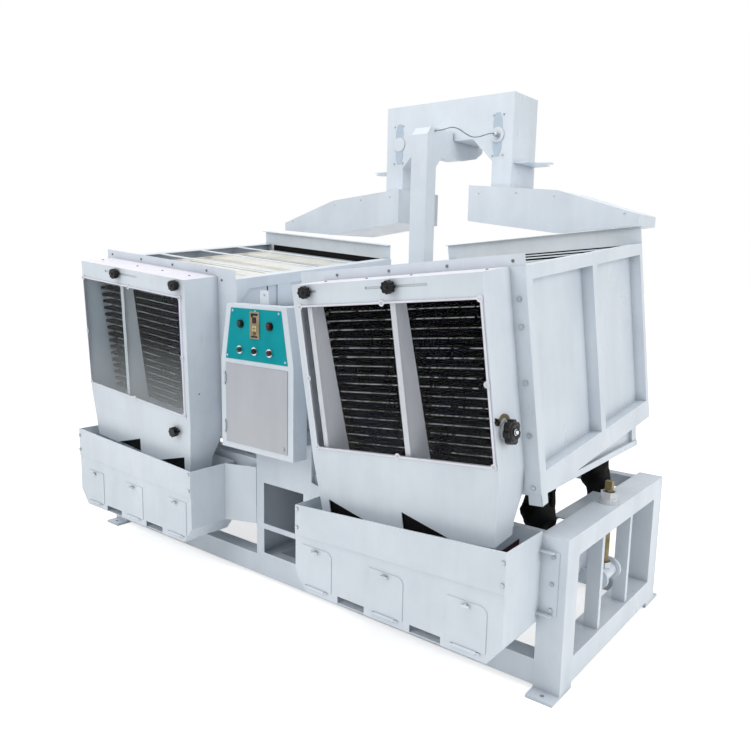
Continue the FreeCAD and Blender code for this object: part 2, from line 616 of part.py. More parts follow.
def carrier(span, web_x):
    # A level beam wedged under the sloping body, with brackets for the rocker pins.
    front = s.rail_inset
    low, plate_top = s.carrier_low, s.carrier_low + s.carrier_plate
    post = s.carrier_end - s.leg_depth / 2
    beam = cut("carrier", block("carrier", span, (front, s.carrier_end), (low, plate_top)),
               [block("carrier_hollow", inset(span, s.tube_wall), (front - 1, s.carrier_end + 1),
                      (low + s.skin, plate_top - s.skin))])
    web = prism("carrier_web", "yz", [(front, plate_top - 1), (s.carrier_end, plate_top - 1),
                                      (s.carrier_end, body_bottom(s.carrier_end) + 1),
                                      (front + 160, body_bottom(front + 160) + 1)], (web_x, web_x + s.tube_wall))
    end_post = prism("carrier_post", "yz", [(post, plate_top - 1), (s.carrier_end, plate_top - 1),
                                            (s.carrier_end, body_bottom(s.carrier_end) + 1),
                                            (post, body_bottom(post) + 1)], inset(span, s.tube_wall))
    return [beam, web, end_post]


def rocker_hangers(along):
    # Cheeks under the carrier on both sides of each rocker arm, with the pin between them.
    shapes = []
    for y in (s.rocker_front, s.rocker_back):
        half = s.arm_thick / 2 + s.lug_gap
        for low in (y - half - 8, y + half):
            shapes.append(block("hanger", around(along, s.rocker_pin_radius + 4), (low, low + 8),
                                (s.rocker_top - s.rocker_pin_radius - 6, s.carrier_low + 1)))
        shapes.append(rod("hanger_pin", "y", (along, s.rocker_top), s.rocker_pin_radius, around(y, half + 1)))
    return shapes


def rod_bracket(rod_y):
    # The ears on the inner carrier that the connecting rod is pinned between.
    along = s.rod_pin_along
    half = s.rod_thick / 2 + s.lug_gap
    height = drive_line(along)
    ears = [block("rod_ear", (along - 20, along + 60), (low, low + 10), (height - 20, s.carrier_low + 1))
            for low in (rod_y - half - 10, rod_y + half)]
    pin = rod("rod_pin", "y", (along, height), s.rod_pin_radius, around(rod_y, half + 1))
    return ears + [pin]


def drive_line(along):
    # The rods lie along the line through the drive shaft, square to the hinge.
    return from_hinge(0, s.drive_z)[1]


def sieve_body(rod_y):
    outer_span = (s.body_along + s.body_outer - s.carrier_width, s.body_along + s.body_outer - 2)
    inner_low = s.body_along - s.body_inner + 42
    inner_span = (inner_low, inner_low + s.carrier_width)
    shell = pitched("body", [body_shell()])
    beams = carrier(outer_span, outer_span[1] - 24) + carrier(inner_span, inner_span[0] + 20)
    ties = [block("carrier_tie", (inner_span[1] - s.tube_wall, outer_span[0] + s.tube_wall),
                  around(y, s.front_post / 2), (s.carrier_low, s.carrier_low + s.carrier_plate))
            for y in (s.rocker_front + 60, s.rocker_back - 60)]
    hangers = rocker_hangers(s.rocker_inner) + rocker_hangers(s.rocker_outer)
    return [fuse("sieve_body", [shell] + beams + ties + hangers + rod_bracket(rod_y))]


def deck_edge(height):
    # The front edges step towards the hood from deck to deck.
    return -s.deck_front - (height - s.deck_first) * (s.deck_step / s.deck_pitch)


def deck_stack():
    # Folded sieve plates one above the other, each with its lips turned up at the sides.
    low = (s.deck_margin - s.body_inner + s.skin, s.body_outer - s.panel_recess - s.deck_slot)
    nose = (s.deck_nose - s.body_inner, s.hood_outer - s.deck_margin)
    start = s.deck_setback - s.body_front
    plates = []
    for index in range(SIZES["deck_count"]):
        base = s.deck_first + index * s.deck_pitch
        along = (start, s.body_length - s.rear_post)
        edge = deck_edge(base)
        high = (base, base + s.deck_lip)
        dished = (base + s.deck_thick, base + s.deck_lip + 1)
        tray = [block("deck", low, along, high), block("deck_nose", nose, (edge, start + 1), high)]
        dish = [block("deck_dish", inset(low, s.deck_thick), (start - 1, along[1] + 1), dished),
                block("deck_dish", inset(nose, s.deck_thick), (edge - 1, start + 2), dished)]
        plates.append(cut("deck", fuse("deck", tray), dish))
    rack_z = (s.deck_first - 12, s.deck_first + (s.deck_count - 1) * s.deck_pitch + s.deck_lip)
    racks = [block("deck_rack", (x, x + 6), around(s.body_length * share, 10), rack_z)
             for share in (0.1, 0.5, 0.9) for x in (low[0] - 6, low[1])]
    feet = [block("deck_foot", low, around(s.body_length * share, 10),
                  (s.body_low + s.low_rail / 2 + 0.2, s.deck_first)) for share in (0.3, 0.7)]
    return [pitched("decks", plates + racks + feet)]


def hood():
    # The discharge hood: a folded shell open to the decks behind and to the trough below.
    along = (-s.hood_depth, -s.body_front - 0.3)
    shell = prism("hood", "xz", hood_outline(0, 0), along)
    inside = prism("hood_inside", "xz", hood_outline(s.skin, 1), (along[0] + s.skin, along[1] + 1))
    heel = prism("hood_heel", "yz", [
        (along[1] + 1, s.body_low + 10), (along[1], s.body_low + 10), (-s.hood_heel, -s.hood_low / 2),
        (-s.hood_heel, -s.hood_low - 2), (along[1] + 1, -s.hood_low - 2)], (-s.hood_inner - 1, s.hood_outer + 1))
    window = block("hood_window", (-s.window_inner, s.window_outer), (along[0] - 1, along[0] + s.skin + 1),
                   (s.window_low, s.window_high))
    slots = [block("knob_slot", (low, high_end), (along[0] - 1, along[0] + s.skin + 1),
                   around(s.slot_height, s.slot_width / 2))
             for low, high_end in ((s.slot_short_low, s.slot_short_high), (s.slot_long_low, s.slot_long_high))]
    notches = [prism("hood_notch", "xz", [(start, -s.hood_low - 1), (start + s.notch_width, -s.hood_low - 1),
                                          (start, s.notch_rise - s.hood_low)], (along[0] - 1, along[0] + s.skin + 1))
               for start in (s.notch_first, s.notch_second)]
    flange = block("hood_flange", (s.hood_outer - s.skin, s.body_outer), (along[1] - s.skin, along[1]),
                   (s.body_low + 10, s.body_top))
    return fuse("hood", [cut("hood", shell, [inside, window, heel] + slots + notches), flange])


def hood_outline(grow, past):
    # Front view of a hood, which narrows below its window.
    top = s.body_top - grow
    low = -s.hood_low - past
    return [(-s.hood_inner + s.hood_taper_inner + grow, low), (s.hood_outer - s.hood_taper_outer - grow, low),
            (s.hood_outer - grow, s.hood_waist), (s.hood_outer - grow, top), (-s.hood_inner + grow, top),
            (-s.hood_inner + grow, s.hood_waist)]


def lobed_knob(name, centre, radius, front, back):
    # A round grip with finger hollows round its rim, turning about Y.
    grip = rod(name, "y", centre, radius, (front, back))
    hollows = []
    for finger in range(8):
        angle = math.radians(45 * finger + 22.5)
        hollows.append(rod(name + "_hollow", "y", (centre[0] + radius * (1.16 * math.cos(angle)),
                                                   centre[1] + radius * (1.16 * math.sin(angle))),
                           radius * 0.3, (front - 1, back + 1)))
    return cut(name, grip, hollows)


def divider(along):
    # A hanging plate with a folded front edge, clamped through the slot by its knob.
    front = s.divider_gap + s.skin - s.hood_depth
    web = prism("divider_web", "yz", [
        (front, s.divider_low), (deck_edge(s.divider_low) - s.divider_gap, s.divider_low),
        (deck_edge(s.divider_high) - s.divider_gap, s.divider_high), (front, s.divider_high)],
        around(along, s.divider_thick / 2))
    lip = block("divider_lip", (along - s.divider_lip, along), (front, front + s.divider_thick),
                (s.divider_low, s.divider_high))
    tab = block("divider_tab", around(along, s.divider_lip / 2), (front, front + s.divider_thick),
                (s.divider_high - 1, s.slot_height + 14))
    stud = rod("divider_stud", "y", (along, s.slot_height), s.stud_radius,
               (-s.hood_depth - s.knob_neck - 4, front + s.divider_thick))
    neck = rod("knob_neck", "y", (along, s.slot_height), s.knob_radius * 0.55,
               (-s.hood_depth - s.knob_neck, -s.hood_depth - 0.3))
    grip = lobed_knob("knob", (along, s.slot_height), s.knob_radius, -s.hood_depth - s.knob_neck - s.knob_length,
                      -s.hood_depth - s.knob_neck)
    return [pitched("divider", [fuse("divider", [web, lip, tab, stud]),
                                cut("knob", fuse("knob", [neck, grip]), [
                                    rod("knob_bore", "y", (along, s.slot_height), s.stud_radius,
                                        (-s.hood_depth - s.knob_neck - 4, -s.hood_depth + 1))])])]


def side_wheel():
    # The clamp wheel on the right hood's side, on a threaded stub.
    face = s.hood_outer
    centre = (-s.wheel_along, s.wheel_height)
    hub = rod("wheel_hub", "x", centre, s.wheel_hub, (face + 0.3, face + s.wheel_reach))
    far = face + s.wheel_reach + s.wheel_thick
    rim = rod("wheel_rim", "x", centre, s.wheel_radius, (face + s.wheel_reach - 1, far))
    hollows = []
    for finger in range(7):
        angle = math.radians(360 / 7 * finger)
        hollows.append(rod("wheel_hollow", "x", (centre[0] + s.wheel_radius * (1.12 * math.cos(angle)),
                                                 centre[1] + s.wheel_radius * (1.12 * math.sin(angle))),
                           s.wheel_finger, (face + s.wheel_reach - 2, far + 1)))
    return [pitched("side_wheel", [cut("wheel", fuse("wheel", [hub, rim]), hollows)])]


def low_knob():
    centre = (s.low_knob_along, s.low_knob_height)
    face = -s.hood_depth
    neck = rod("low_neck", "y", centre, s.knob_radius * 0.55, (face - s.knob_neck, face - 0.3))
    grip = lobed_knob("low_grip", centre, s.knob_radius, face - s.knob_neck - s.knob_length, face - s.knob_neck)
    pointer = block("low_pointer", (centre[0] - s.knob_radius - 12, centre[0]),
                    (face - s.knob_neck - 12, face - s.knob_neck), around(centre[1] + 10, 5))
    return [pitched("low_knob", [fuse("low_knob", [neck, grip, pointer])])]


def pane():
    # The clear window, lapped over the hood's opening.
    lap = s.pane_lap
    return [pitched("pane", [block("pane", (-s.window_inner - lap, s.window_outer + lap),
                                   (-s.hood_depth - s.pane_thick, -s.hood_depth),
                                   (s.window_low - lap, s.window_high + lap))])]


def leg_flange():
    # The sheet that bolts a trough to a leg, with a folded tab at each end.
    outer = s.trough_outer + s.leg_flange
    span = (-0.3 - s.skin, -0.3)
    plate = block("leg_flange", (s.trough_outer - s.skin, outer), span, (s.leg_flange_low, s.trough_top - 10))
    tabs = [block("leg_tab", (s.trough_outer - s.skin, outer - 14), (span[0] - s.leg_tab, span[0] + 1), z)
            for z in ((s.leg_flange_low, s.leg_flange_low + s.skin), (s.trough_top - 10 - s.skin, s.trough_top - 10))]
    return [plate] + tabs


def trough_outline(grow):
    # Front view of a trough, whose rim climbs towards the end frame.
    slope = s.trough_rise / (s.trough_outer - s.trough_inner)
    left, right = s.trough_inner + grow, s.trough_outer - grow
    return [(left + s.trough_chamfer, s.trough_low + grow), (right - s.trough_chamfer, s.trough_low + grow),
            (right, s.trough_side_low + grow), (right, s.trough_top + s.trough_rise - grow * slope + lift(grow)),
            (left, s.trough_top + grow * slope + lift(grow)), (left, s.trough_side_low + grow)]


def lift(grow):
    # An inner cavity runs past the rim, so that the trough stays open.
    return 60 if number(grow) > 0 else 0


def trough():
    span = (-s.trough_depth, -0.3)
    shell = prism("trough", "xz", trough_outline(0), span)
    cavity = prism("trough_cavity", "xz", trough_outline(s.skin), inset(span, s.skin))
    mouths = [block("spout_gap", (start, start + s.spout_notch), (span[0] - 1, span[0] + s.skin + 1),
                    (s.trough_low - 1, s.trough_low + s.spout_notch_rise))
              for start in [s.door_first + k * s.door_step + s.spout_after for k in range(2)]]
    outlets = [block("spout_mouth", around(s.door_first + k * s.door_step, s.door_width / 2 - 8),
                     (span[0] + 70, span[0] + 170), (s.trough_low - 1, s.trough_low + s.skin + 1)) for k in range(3)]
    doorways = [block("doorway", around(s.door_first + k * s.door_step, s.door_width / 2 - 10),
                      (span[0] - 1, span[0] + s.skin + 1), (s.door_low + 14, s.door_high - 26)) for k in range(3)]
    hinge_bars = [fuse("hinge", [rod("hinge_pin", "x", (hinge_y(), hinge_z()), s.door_pin_radius, knuckle_span(k, 0)),
                                 ] + [block("hinge_ear", span_x, (hinge_y(), -s.trough_depth + 1),
                                            around(hinge_z(), s.door_pin_radius)) for span_x in ear_spans(k)])
                  for k in range(3)]
    return [fuse("trough", [cut("trough", shell, [cavity] + mouths + outlets + doorways)] + leg_flange() + hinge_bars)]


def hinge_y():
    return -s.trough_depth - s.door_pin_radius - s.knuckle_wall - s.pin_clearance - s.door_gap


def hinge_z():
    return s.door_low - s.door_pin_radius - s.knuckle_wall


def knuckle_span(index, trim):
    middle = s.door_first + index * s.door_step
    return around(middle, s.door_width / 2 - 20 - trim)


def ear_spans(index):
    low, high = knuckle_span(index, 0)
    return (low, low + 12), (high - 12, high)


def door(index):
    # A flap hinged on its lower edge, with a turn latch near its top.
    middle = s.door_first + index * s.door_step
    half = s.door_width / 2
    front = -s.trough_depth - s.door_gap - s.door_thick
    span = (front, front + s.door_thick)
    leaf = block("door", around(middle, half), span, (s.door_low, s.door_high))
    corner = cut("door_corner", block("door_corner", (middle + half - s.door_corner, middle + half + 1),
                                      (span[0] - 1, span[1] + 1), (s.door_high - s.door_corner, s.door_high + 1)),
                 [rod("door_round", "y", (middle + half - s.door_corner, s.door_high - s.door_corner), s.door_corner,
                      (span[0] - 2, span[1] + 2))])
    knuckle = rod("door_knuckle", "x", (hinge_y(), hinge_z()), s.door_pin_radius + s.knuckle_wall,
                  around(middle, half - 20 - 14))
    strap = block("door_strap", around(middle, half - 20 - 14), (span[0], span[1]), (hinge_z(), s.door_low + 1))
    bore = rod("door_bore", "x", (hinge_y(), hinge_z()), s.door_pin_radius + s.pin_clearance, around(middle, half))
    leaf = cut("door", fuse("door", [cut("door", leaf, [corner]), knuckle, strap]), [bore])
    boss = rod("latch_boss", "y", (middle, s.door_high - s.latch_drop), 7, (front - 9, front - 0.2))
    wing = block("latch_wing", around(middle, 17), (front - 13, front - 8), around(s.door_high - s.latch_drop, 4))
    return [leaf, fuse("latch", [boss, wing])]


def strip():
    # The long plate bolted over the trough's rim, flush with its slope.
    front = -s.trough_depth - s.strip_thick
    points = [(s.trough_inner, s.seam_height), (s.trough_outer, s.seam_height + s.seam_rise),
              (s.trough_outer, s.trough_top + s.trough_rise), (s.trough_inner, s.trough_top)]
    return prism("strip", "xz", points, (front, -s.trough_depth))


def control_outline(grow):
    # Front view of the control box, whose shoulders slope in above the cover.
    low, top = s.control_low + grow, s.control_top - grow
    return [(-s.control_half + grow, low), (s.control_half - grow, low), (s.control_half - grow, s.control_shoulder),
            (s.control_top_half - grow, top), (-s.control_top_half + grow, top),
            (-s.control_half + grow, s.control_shoulder)]


def control_box():
    span = (-s.control_front, -s.control_front + s.control_depth)
    shell = prism("control", "xz", control_outline(0), span)
    inside = prism("control_inside", "xz", control_outline(s.sheet / 2), inset(span, s.sheet / 2))
    doorway = block("control_doorway", around(0, s.cover_half - 14), (span[0] - 1, span[0] + s.sheet),
                    (s.cover_low + 14, s.cover_high - 14))
    holes = [rod("control_hole", "y", place_of, radius, (span[0] - 1, span[0] + s.sheet))
             for place_of, radius in fitting_places()]
    holes.append(block("display_hole", around(0, s.display_half - 4), (span[0] - 1, span[0] + s.sheet),
                       (s.display_low + 4, s.display_high - 4)))
    brackets = [block("control_bracket", around(side * (s.tower_half - 24), 20), (span[1] - 1, 0), (z, z + 60))
                for side in (-1, 1) for z in (s.control_low + 40, s.control_top - 120)]
    tab = block("control_hanger", around(s.hanger_along, s.hanger_half), (span[1] - s.sheet, span[1]),
                (s.control_top - 6, s.control_top + s.hanger_rise))
    hanger = cut("control_hanger", tab, [
        rod("hanger_hole", "y", (s.hanger_along, s.control_top + s.hanger_rise - 3 * s.hanger_hole), s.hanger_hole,
            (span[1] - s.sheet - 1, span[1] + 1))])
    hook = block("control_hook", around(s.hanger_along, s.hanger_half), (span[1] - s.sheet, 0),
                 (s.control_top - 42, s.control_top - 36))
    pin_y = span[0] - s.cover_pin_reach
    pins = [rod("cover_pin", "z", (-s.cover_half - s.cover_knuckle_radius, pin_y), s.cover_pin_radius, (z, z + 60))
            for z in (s.cover_low + 40, s.cover_high - 100)]
    pin_feet = [block("cover_pin_foot", around(-s.cover_half - s.cover_knuckle_radius, s.cover_pin_radius),
                      (pin_y, span[0] + 1), (end, end + 10))
                for z in (s.cover_low + 40, s.cover_high - 100) for end in (z, z + 50)]
    return fuse("control", [cut("control", shell, [inside, doorway] + holes), hanger, hook] + brackets + pins + pin_feet)


def fitting_places():
    lamps = [((side * s.lamp_spread, s.lamp_height), s.lamp_radius) for side in (-1, 1)]
    buttons = [((side * s.button_spread, s.button_height), s.button_radius + s.button_clearance)
               for side in (-1, 0, 1)]
    return lamps + buttons


def control_cover():
    # The lower door, hung on pins at its left edge, with a turn lock at the lower right corner.
    front = -s.control_front - s.door_gap - s.cover_thick
    leaf = block("cover", around(0, s.cover_half), (front, front + s.cover_thick), (s.cover_low, s.cover_high))
    knuckles, reliefs = [], []
    for z in (s.cover_low + 40, s.cover_high - 100):
        centre = (-s.cover_half - s.cover_knuckle_radius, -s.control_front - s.cover_pin_reach)
        knuckles.append(fuse("cover_knuckle", [
            rod("cover_knuckle", "z", centre, s.cover_knuckle_radius, (z + 11, z + 49)),
            block("cover_tongue", (centre[0], -s.cover_half + 4), (centre[1] - 1, front + s.cover_thick),
                  (z + 11, z + 49))]))
        reliefs.append(rod("cover_bore", "z", centre, s.cover_pin_radius + s.pin_clearance, (z, z + 60)))
    lock = rod("cover_lock", "y", (s.cover_half - s.lock_inset, s.cover_low + s.lock_inset), 8, (front - 4, front + 1))
    return [cut("cover", fuse("cover", [leaf, lock] + knuckles), reliefs)]


def control_plate():
    front = -s.control_front - s.plate_thick
    span = (front, -s.control_front)
    outline = [(-s.plate_low_half, s.plate_low), (s.plate_low_half, s.plate_low),
               (s.plate_top_half, s.plate_high), (-s.plate_top_half, s.plate_high)]
    holes = [rod("plate_hole", "y", place_of, radius, (front - 1, 1 - s.control_front))
             for place_of, radius in fitting_places()]
    holes.append(block("plate_window", around(0, s.display_half - 4), (front - 1, 1 - s.control_front),
                       (s.display_low + 4, s.display_high - 4)))
    return [cut("control_plate", prism("control_plate", "xz", outline, span), holes)]


def lamps():
    face = -s.control_front - s.plate_thick
    shapes = []
    for place_of, radius in fitting_places()[:2]:
        body = rod("lamp", "y", place_of, radius, (face - s.lamp_reach, face + 20))
        shapes.append(body)
    return shapes


def bezels():
    # Bright collars that stand on the plate round the lamps and buttons.
    face = -s.control_front - s.plate_thick
    shapes = []
    for place_of, radius in fitting_places():
        ring = rod("bezel", "y", place_of, s.bezel_radius, (face - s.bezel_reach, face))
        bore = rod("bezel_bore", "y", place_of, radius, (face - s.bezel_reach - 1, face + 1))
        shapes.append(cut("bezel", ring, [bore]))
    return shapes


def push_button(side):
    face = -s.control_front - s.plate_thick
    centre = (side * s.button_spread, s.button_height)
    cap = rod("button", "y", centre, s.button_radius, (face - s.bezel_reach - s.button_reach, face + 14))
    return [cap]


def display():
    face = -s.control_front - s.plate_thick
    body = block("display", around(0, s.display_half), (face - s.display_thick, face), (s.display_low, s.display_high))
    back = block("display_back", around(0, s.display_half - 4.5), (face - 1, face + 25),
                 (s.display_low + 4.5, s.display_high - 4.5))
    return [fuse("display", [body, back])]


def column_outline(wall):
    # Side view of the column and the arm that reaches back under the distribution box.
    front, back = s.column_front + wall, s.column_back - wall
    low = s.sill_low + s.sill_height - 2 * wall
    top, arm_low = s.arm_top - wall, s.arm_low + wall
    return [(front, low), (back, low), (back, arm_low - 62), (back + 60, arm_low), (s.head_front + 100, arm_low),
            (s.arm_end - 70, arm_low + 28), (s.arm_end - wall, arm_low + 68), (s.arm_end - wall, s.head_under - wall - 0.3),
            (s.head_front - 6 - wall, s.head_under - wall - 0.3), (s.head_front - 6 - wall, top),
            (front + 34, top), (front, top - 40)]


def feed_column():
    shell = prism("column", "yz", column_outline(0), around(0, s.column_half))
    inside = prism("column_inside", "yz", column_outline(s.duct_wall), around(0, s.column_half - s.duct_wall))
    return [cut("column", shell, [inside])]


def head_outline(grow):
    # Front view of the distribution box: a cross duct with a leg at each end.
    half, low = s.head_half - grow, s.head_low - 2 * grow
    leg = s.head_half - s.head_leg + grow
    under, gusset = s.head_under + grow, s.head_gusset
    return [(-half, low), (-leg, low), (-leg, under - gusset), (gusset - leg, under), (leg - gusset, under),
            (leg, under - gusset), (leg, low), (half, low), (half, s.head_top - grow), (-half, s.head_top - grow)]


def distribution_box():
    span = (s.head_front, s.head_back)
    shell = prism("head", "xz", head_outline(0), span)
    inside = prism("head_inside", "xz", head_outline(s.duct_wall), inset(span, s.duct_wall))
    cuts = [inside, rod("feed_inlet", "z", (0, s.head_front + s.head_inlet_setback), s.head_inlet_radius,
                        (s.head_top - 2 * s.duct_wall, s.head_top + 1))]
    for side in (-1, 1):
        low, high = (s.head_half - s.head_leg / 2, s.head_half + 1) if side == 1 else (
            -s.head_half - 1, -s.head_half + s.head_leg / 2)
        cuts.append(block("gate_slot", (low, high), (s.head_front + s.gate_side - 1, s.head_back - s.gate_side + 1),
                          around(s.gate_height, s.gate_thick / 2 + 0.5)))
        cuts.append(block("sight_hole", around(side * s.sight_along, s.sight_half - 8),
                          (span[0] - 1, span[0] + s.duct_wall + 1), (s.sight_low + 20, s.sight_high - 20)))
    covers = [rod("sight_cover", "y", (side * s.sight_along, s.sensor_height), s.sight_cover_radius,
                  (span[0] - s.sight_thick - s.duct_wall, span[0] - s.sight_thick)) for side in (-1, 1)]
    return [cut("head", shell, cuts)] + covers


def gate_runners():
    # Rails inside each leg that the slide gate runs on.
    shapes = []
    for side in (-1, 1):
        ends = (s.head_half - s.head_leg + s.duct_wall, s.head_half - s.duct_wall)
        span = ends if side == 1 else (-ends[1], -ends[0])
        for y in ((s.head_front + s.duct_wall, s.head_front + s.gate_side + 10),
                  (s.head_back - s.gate_side - 10, s.head_back - s.duct_wall)):
            shapes.append(block("gate_runner", span, y, (s.gate_height - s.gate_thick / 2 - 6.3,
                                                         s.gate_height - s.gate_thick / 2 - 0.3)))
    return shapes


def slide_gate(side):
    # A plate that shuts off one leg, with a rounded tongue to pull it by.
    low, high = s.gate_out - s.gate_length, s.gate_out
    span = (low, high - s.gate_grip + 1) if side == 1 else (-high + s.gate_grip - 1, -low)
    plate = block("gate", span, (s.head_front + s.gate_side, s.head_back - s.gate_side),
                  around(s.gate_height, s.gate_thick / 2))
    middle = (s.head_front + s.head_back) / 2
    grip_end = side * (high - s.gate_grip_radius)
    stem = (high - s.gate_grip, high - s.gate_grip_radius) if side == 1 else (-high + s.gate_grip_radius,
                                                                              -high + s.gate_grip)
    stem = block("gate_stem", stem, around(middle, s.gate_grip_radius), around(s.gate_height, s.gate_thick / 2))
    tip = rod("gate_tip", "z", (grip_end, middle), s.gate_grip_radius, around(s.gate_height, s.gate_thick / 2))
    return [fuse("gate", [plate, stem, tip])]


def sight_outline(side):
    middle, half = side * s.sight_along, s.sight_half
    return [(middle - half / 2, s.sight_low), (middle + half / 2, s.sight_low), (middle + half, s.sight_low + 40),
            (middle + half, s.sight_high - 40), (middle + half / 2, s.sight_high), (middle - half / 2, s.sight_high),
            (middle - half, s.sight_high - 40), (middle - half, s.sight_low + 40)]


def sight_panes():
    return [prism("sight", "xz", sight_outline(side), (s.head_front - s.sight_thick, s.head_front))
            for side in (-1, 1)]


def level_sensor():
    # A capacitive probe through the right sight pane, with its locknut and cable gland.
    centre = (s.sight_along, s.sensor_height)
    face = s.head_front - s.sight_thick - s.duct_wall
    nut = rod("sensor_nut", "y", centre, s.sensor_radius + 7, (face - 6, face))
    body = rod("sensor", "y", centre, s.sensor_radius, (face - s.sensor_reach, face - 6))
    gland = cone("sensor_gland", "y", centre, (5, s.sensor_radius), (face - s.sensor_reach - 12, face - s.sensor_reach))
    return [fuse("sensor", [nut, body, gland])]


def chute_outline(grow, open_top):
    # Front view of a feed chute that falls from the distribution leg to the body's outer rear corner.
    up = open_top
    return [(s.chute_inner + grow, s.chute_inner_low + grow), (s.chute_mid, s.chute_mid_low + grow),
            (s.chute_outer - grow, s.chute_outer_low + grow), (s.chute_outer - grow, s.chute_outer_high - grow + up),
            (s.chute_mid, s.chute_mid_high - grow + up), (s.chute_inner + grow, s.chute_inner_high - grow + up)]


def feed_chute():
    span = (s.chute_front, s.chute_back)
    shell = prism("chute", "xz", chute_outline(0, 0), span)
    inside = prism("chute_inside", "xz", chute_outline(s.skin, 0), inset(span, s.skin))
    taper = prism("chute_taper", "xy", chute_taper(0), (s.chute_mid_low - 60, s.chute_inner_high + 60))
    inner_taper = prism("chute_taper", "xy", chute_taper(s.skin), (s.chute_mid_low - 60, s.chute_inner_high + 60))
    leg = (s.head_half - s.head_leg, s.head_half)
    inlet = block("chute_inlet", (leg[0] + s.skin, leg[1] - s.skin), (s.head_front + s.skin, s.head_back - s.skin),
                  (s.chute_inner_high - 120, s.chute_inner_high + 10))
    outlet = block("chute_outlet", (s.chute_outer - 110, s.chute_outer - 15),
                   (s.chute_front + 20, s.chute_front + 100), (s.chute_mid_low - 20, s.chute_outer_low + 20))
    collar = cut("chute_collar", block("chute_collar", leg, (s.head_front, s.head_back),
                                       (s.chute_inner_high - 60, s.head_low - 0.3)),
                 [block("chute_collar_hole", inset(leg, s.skin), (s.head_front + s.skin, s.head_back - s.skin),
                        (s.chute_inner_high - 70, s.head_low))])
    hollow = cut("chute_hollow", inside, [inner_taper])
    walls = cut("chute", cut("chute", shell, [taper]), [hollow, inlet, outlet])
    return [fuse("chute", [walls, cut("collar", collar, [hollow])])]


def chute_taper(grow):
    # The corner of the plan that the slanting rear wall cuts away.
    return [(s.chute_mid - grow, s.chute_back - grow), (s.chute_outer + 20, s.chute_back - s.chute_taper - grow),
            (s.chute_outer + 20, s.chute_back + 20), (s.chute_mid - grow, s.chute_back + 20)]


def eccentric_shaft():
    # The drive shaft with two opposed eccentrics and a grooved flywheel.
    spot = (0, s.drive_z)
    shaft = rod("shaft", "y", spot, s.shaft_radius, (s.front_bearing - s.bearing_width, s.flywheel_y + s.flywheel_width))
    solids = [shaft]
    for y, rise in ((s.right_rod_y, s.throw), (s.left_rod_y, -s.throw)):
        solids.append(rod("eccentric", "y", (0, s.drive_z + rise), s.eccentric_radius,
                          around(y, s.eccentric_width / 2)))
    half = s.flywheel_width / 2
    wheel = rod("flywheel", "y", spot, s.flywheel_radius, around(s.flywheel_y, half))
    dish = [cut("dish", rod("dish", "y", spot, s.flywheel_radius - s.flywheel_rim, span),
                [rod("dish_hub", "y", spot, s.shaft_radius + 16, span)])
            for span in ((s.flywheel_y - half - 1, s.flywheel_y - 6), (s.flywheel_y + 6, s.flywheel_y + half + 1))]
    holes = [rod("wheel_hole", "y", (65 * math.cos(math.radians(72 * k)), s.drive_z + 65 * math.sin(math.radians(72 * k))),
                 15, around(s.flywheel_y, half)) for k in range(5)]
    grooves = [ring_groove(spot, s.flywheel_radius, y) for y in belt_places()]
    return [fuse("eccentric_shaft", solids + [cut("flywheel", wheel, dish + holes + grooves)])]


def belt_places():
    return [s.flywheel_y + k * s.belt_step for k in (-1, 0, 1)]


def ring_groove(spot, radius, y):
    span = around(y, s.belt_width / 2 + 0.3)
    return cut("groove", rod("groove", "y", spot, radius + 5, span),
               [rod("groove_floor", "y", spot, radius - s.belt_thick, span)])


def motor_pulley():
    spot = (0, s.motor_z)
    wheel = rod("pulley", "y", spot, s.motor_pulley_radius, around(s.flywheel_y, s.flywheel_width / 2))
    grooved = cut("pulley", wheel, [ring_groove(spot, s.motor_pulley_radius, y) for y in belt_places()])
    shaft = rod("motor_shaft", "y", spot, s.motor_shaft_radius,
                (s.motor_front + s.motor_length - 40, s.flywheel_y + s.flywheel_width / 2 + 6))
    return [fuse("motor_pulley", [grooved, shaft])]


def belt_loop(y, large, small):
    # The outline round both pulleys: two discs and the band between their tangents.
    gap = s.drive_z - s.motor_z
    lean = (large - small) / gap
    square = root(1 - lean * lean)
    span = around(y, s.belt_width / 2)
    band = prism("belt_band", "xz", [
        (-large * square, s.drive_z - large * lean), (-small * square, s.motor_z - small * lean),
        (small * square, s.motor_z - small * lean), (large * square, s.drive_z - large * lean)], span)
    return fuse("belt_loop", [rod("belt_top", "y", (0, s.drive_z), large, span),
                              rod("belt_foot", "y", (0, s.motor_z), small, span), band])


def root(size):
    return Measure(math.sqrt(number(size)), f"sqrt({formula(size)})")


def belts():
    floor = 0.3 - s.belt_thick
    return [cut("belt", belt_loop(y, s.flywheel_radius, s.motor_pulley_radius),
                [belt_loop(y, s.flywheel_radius + floor, s.motor_pulley_radius + floor)]) for y in belt_places()]


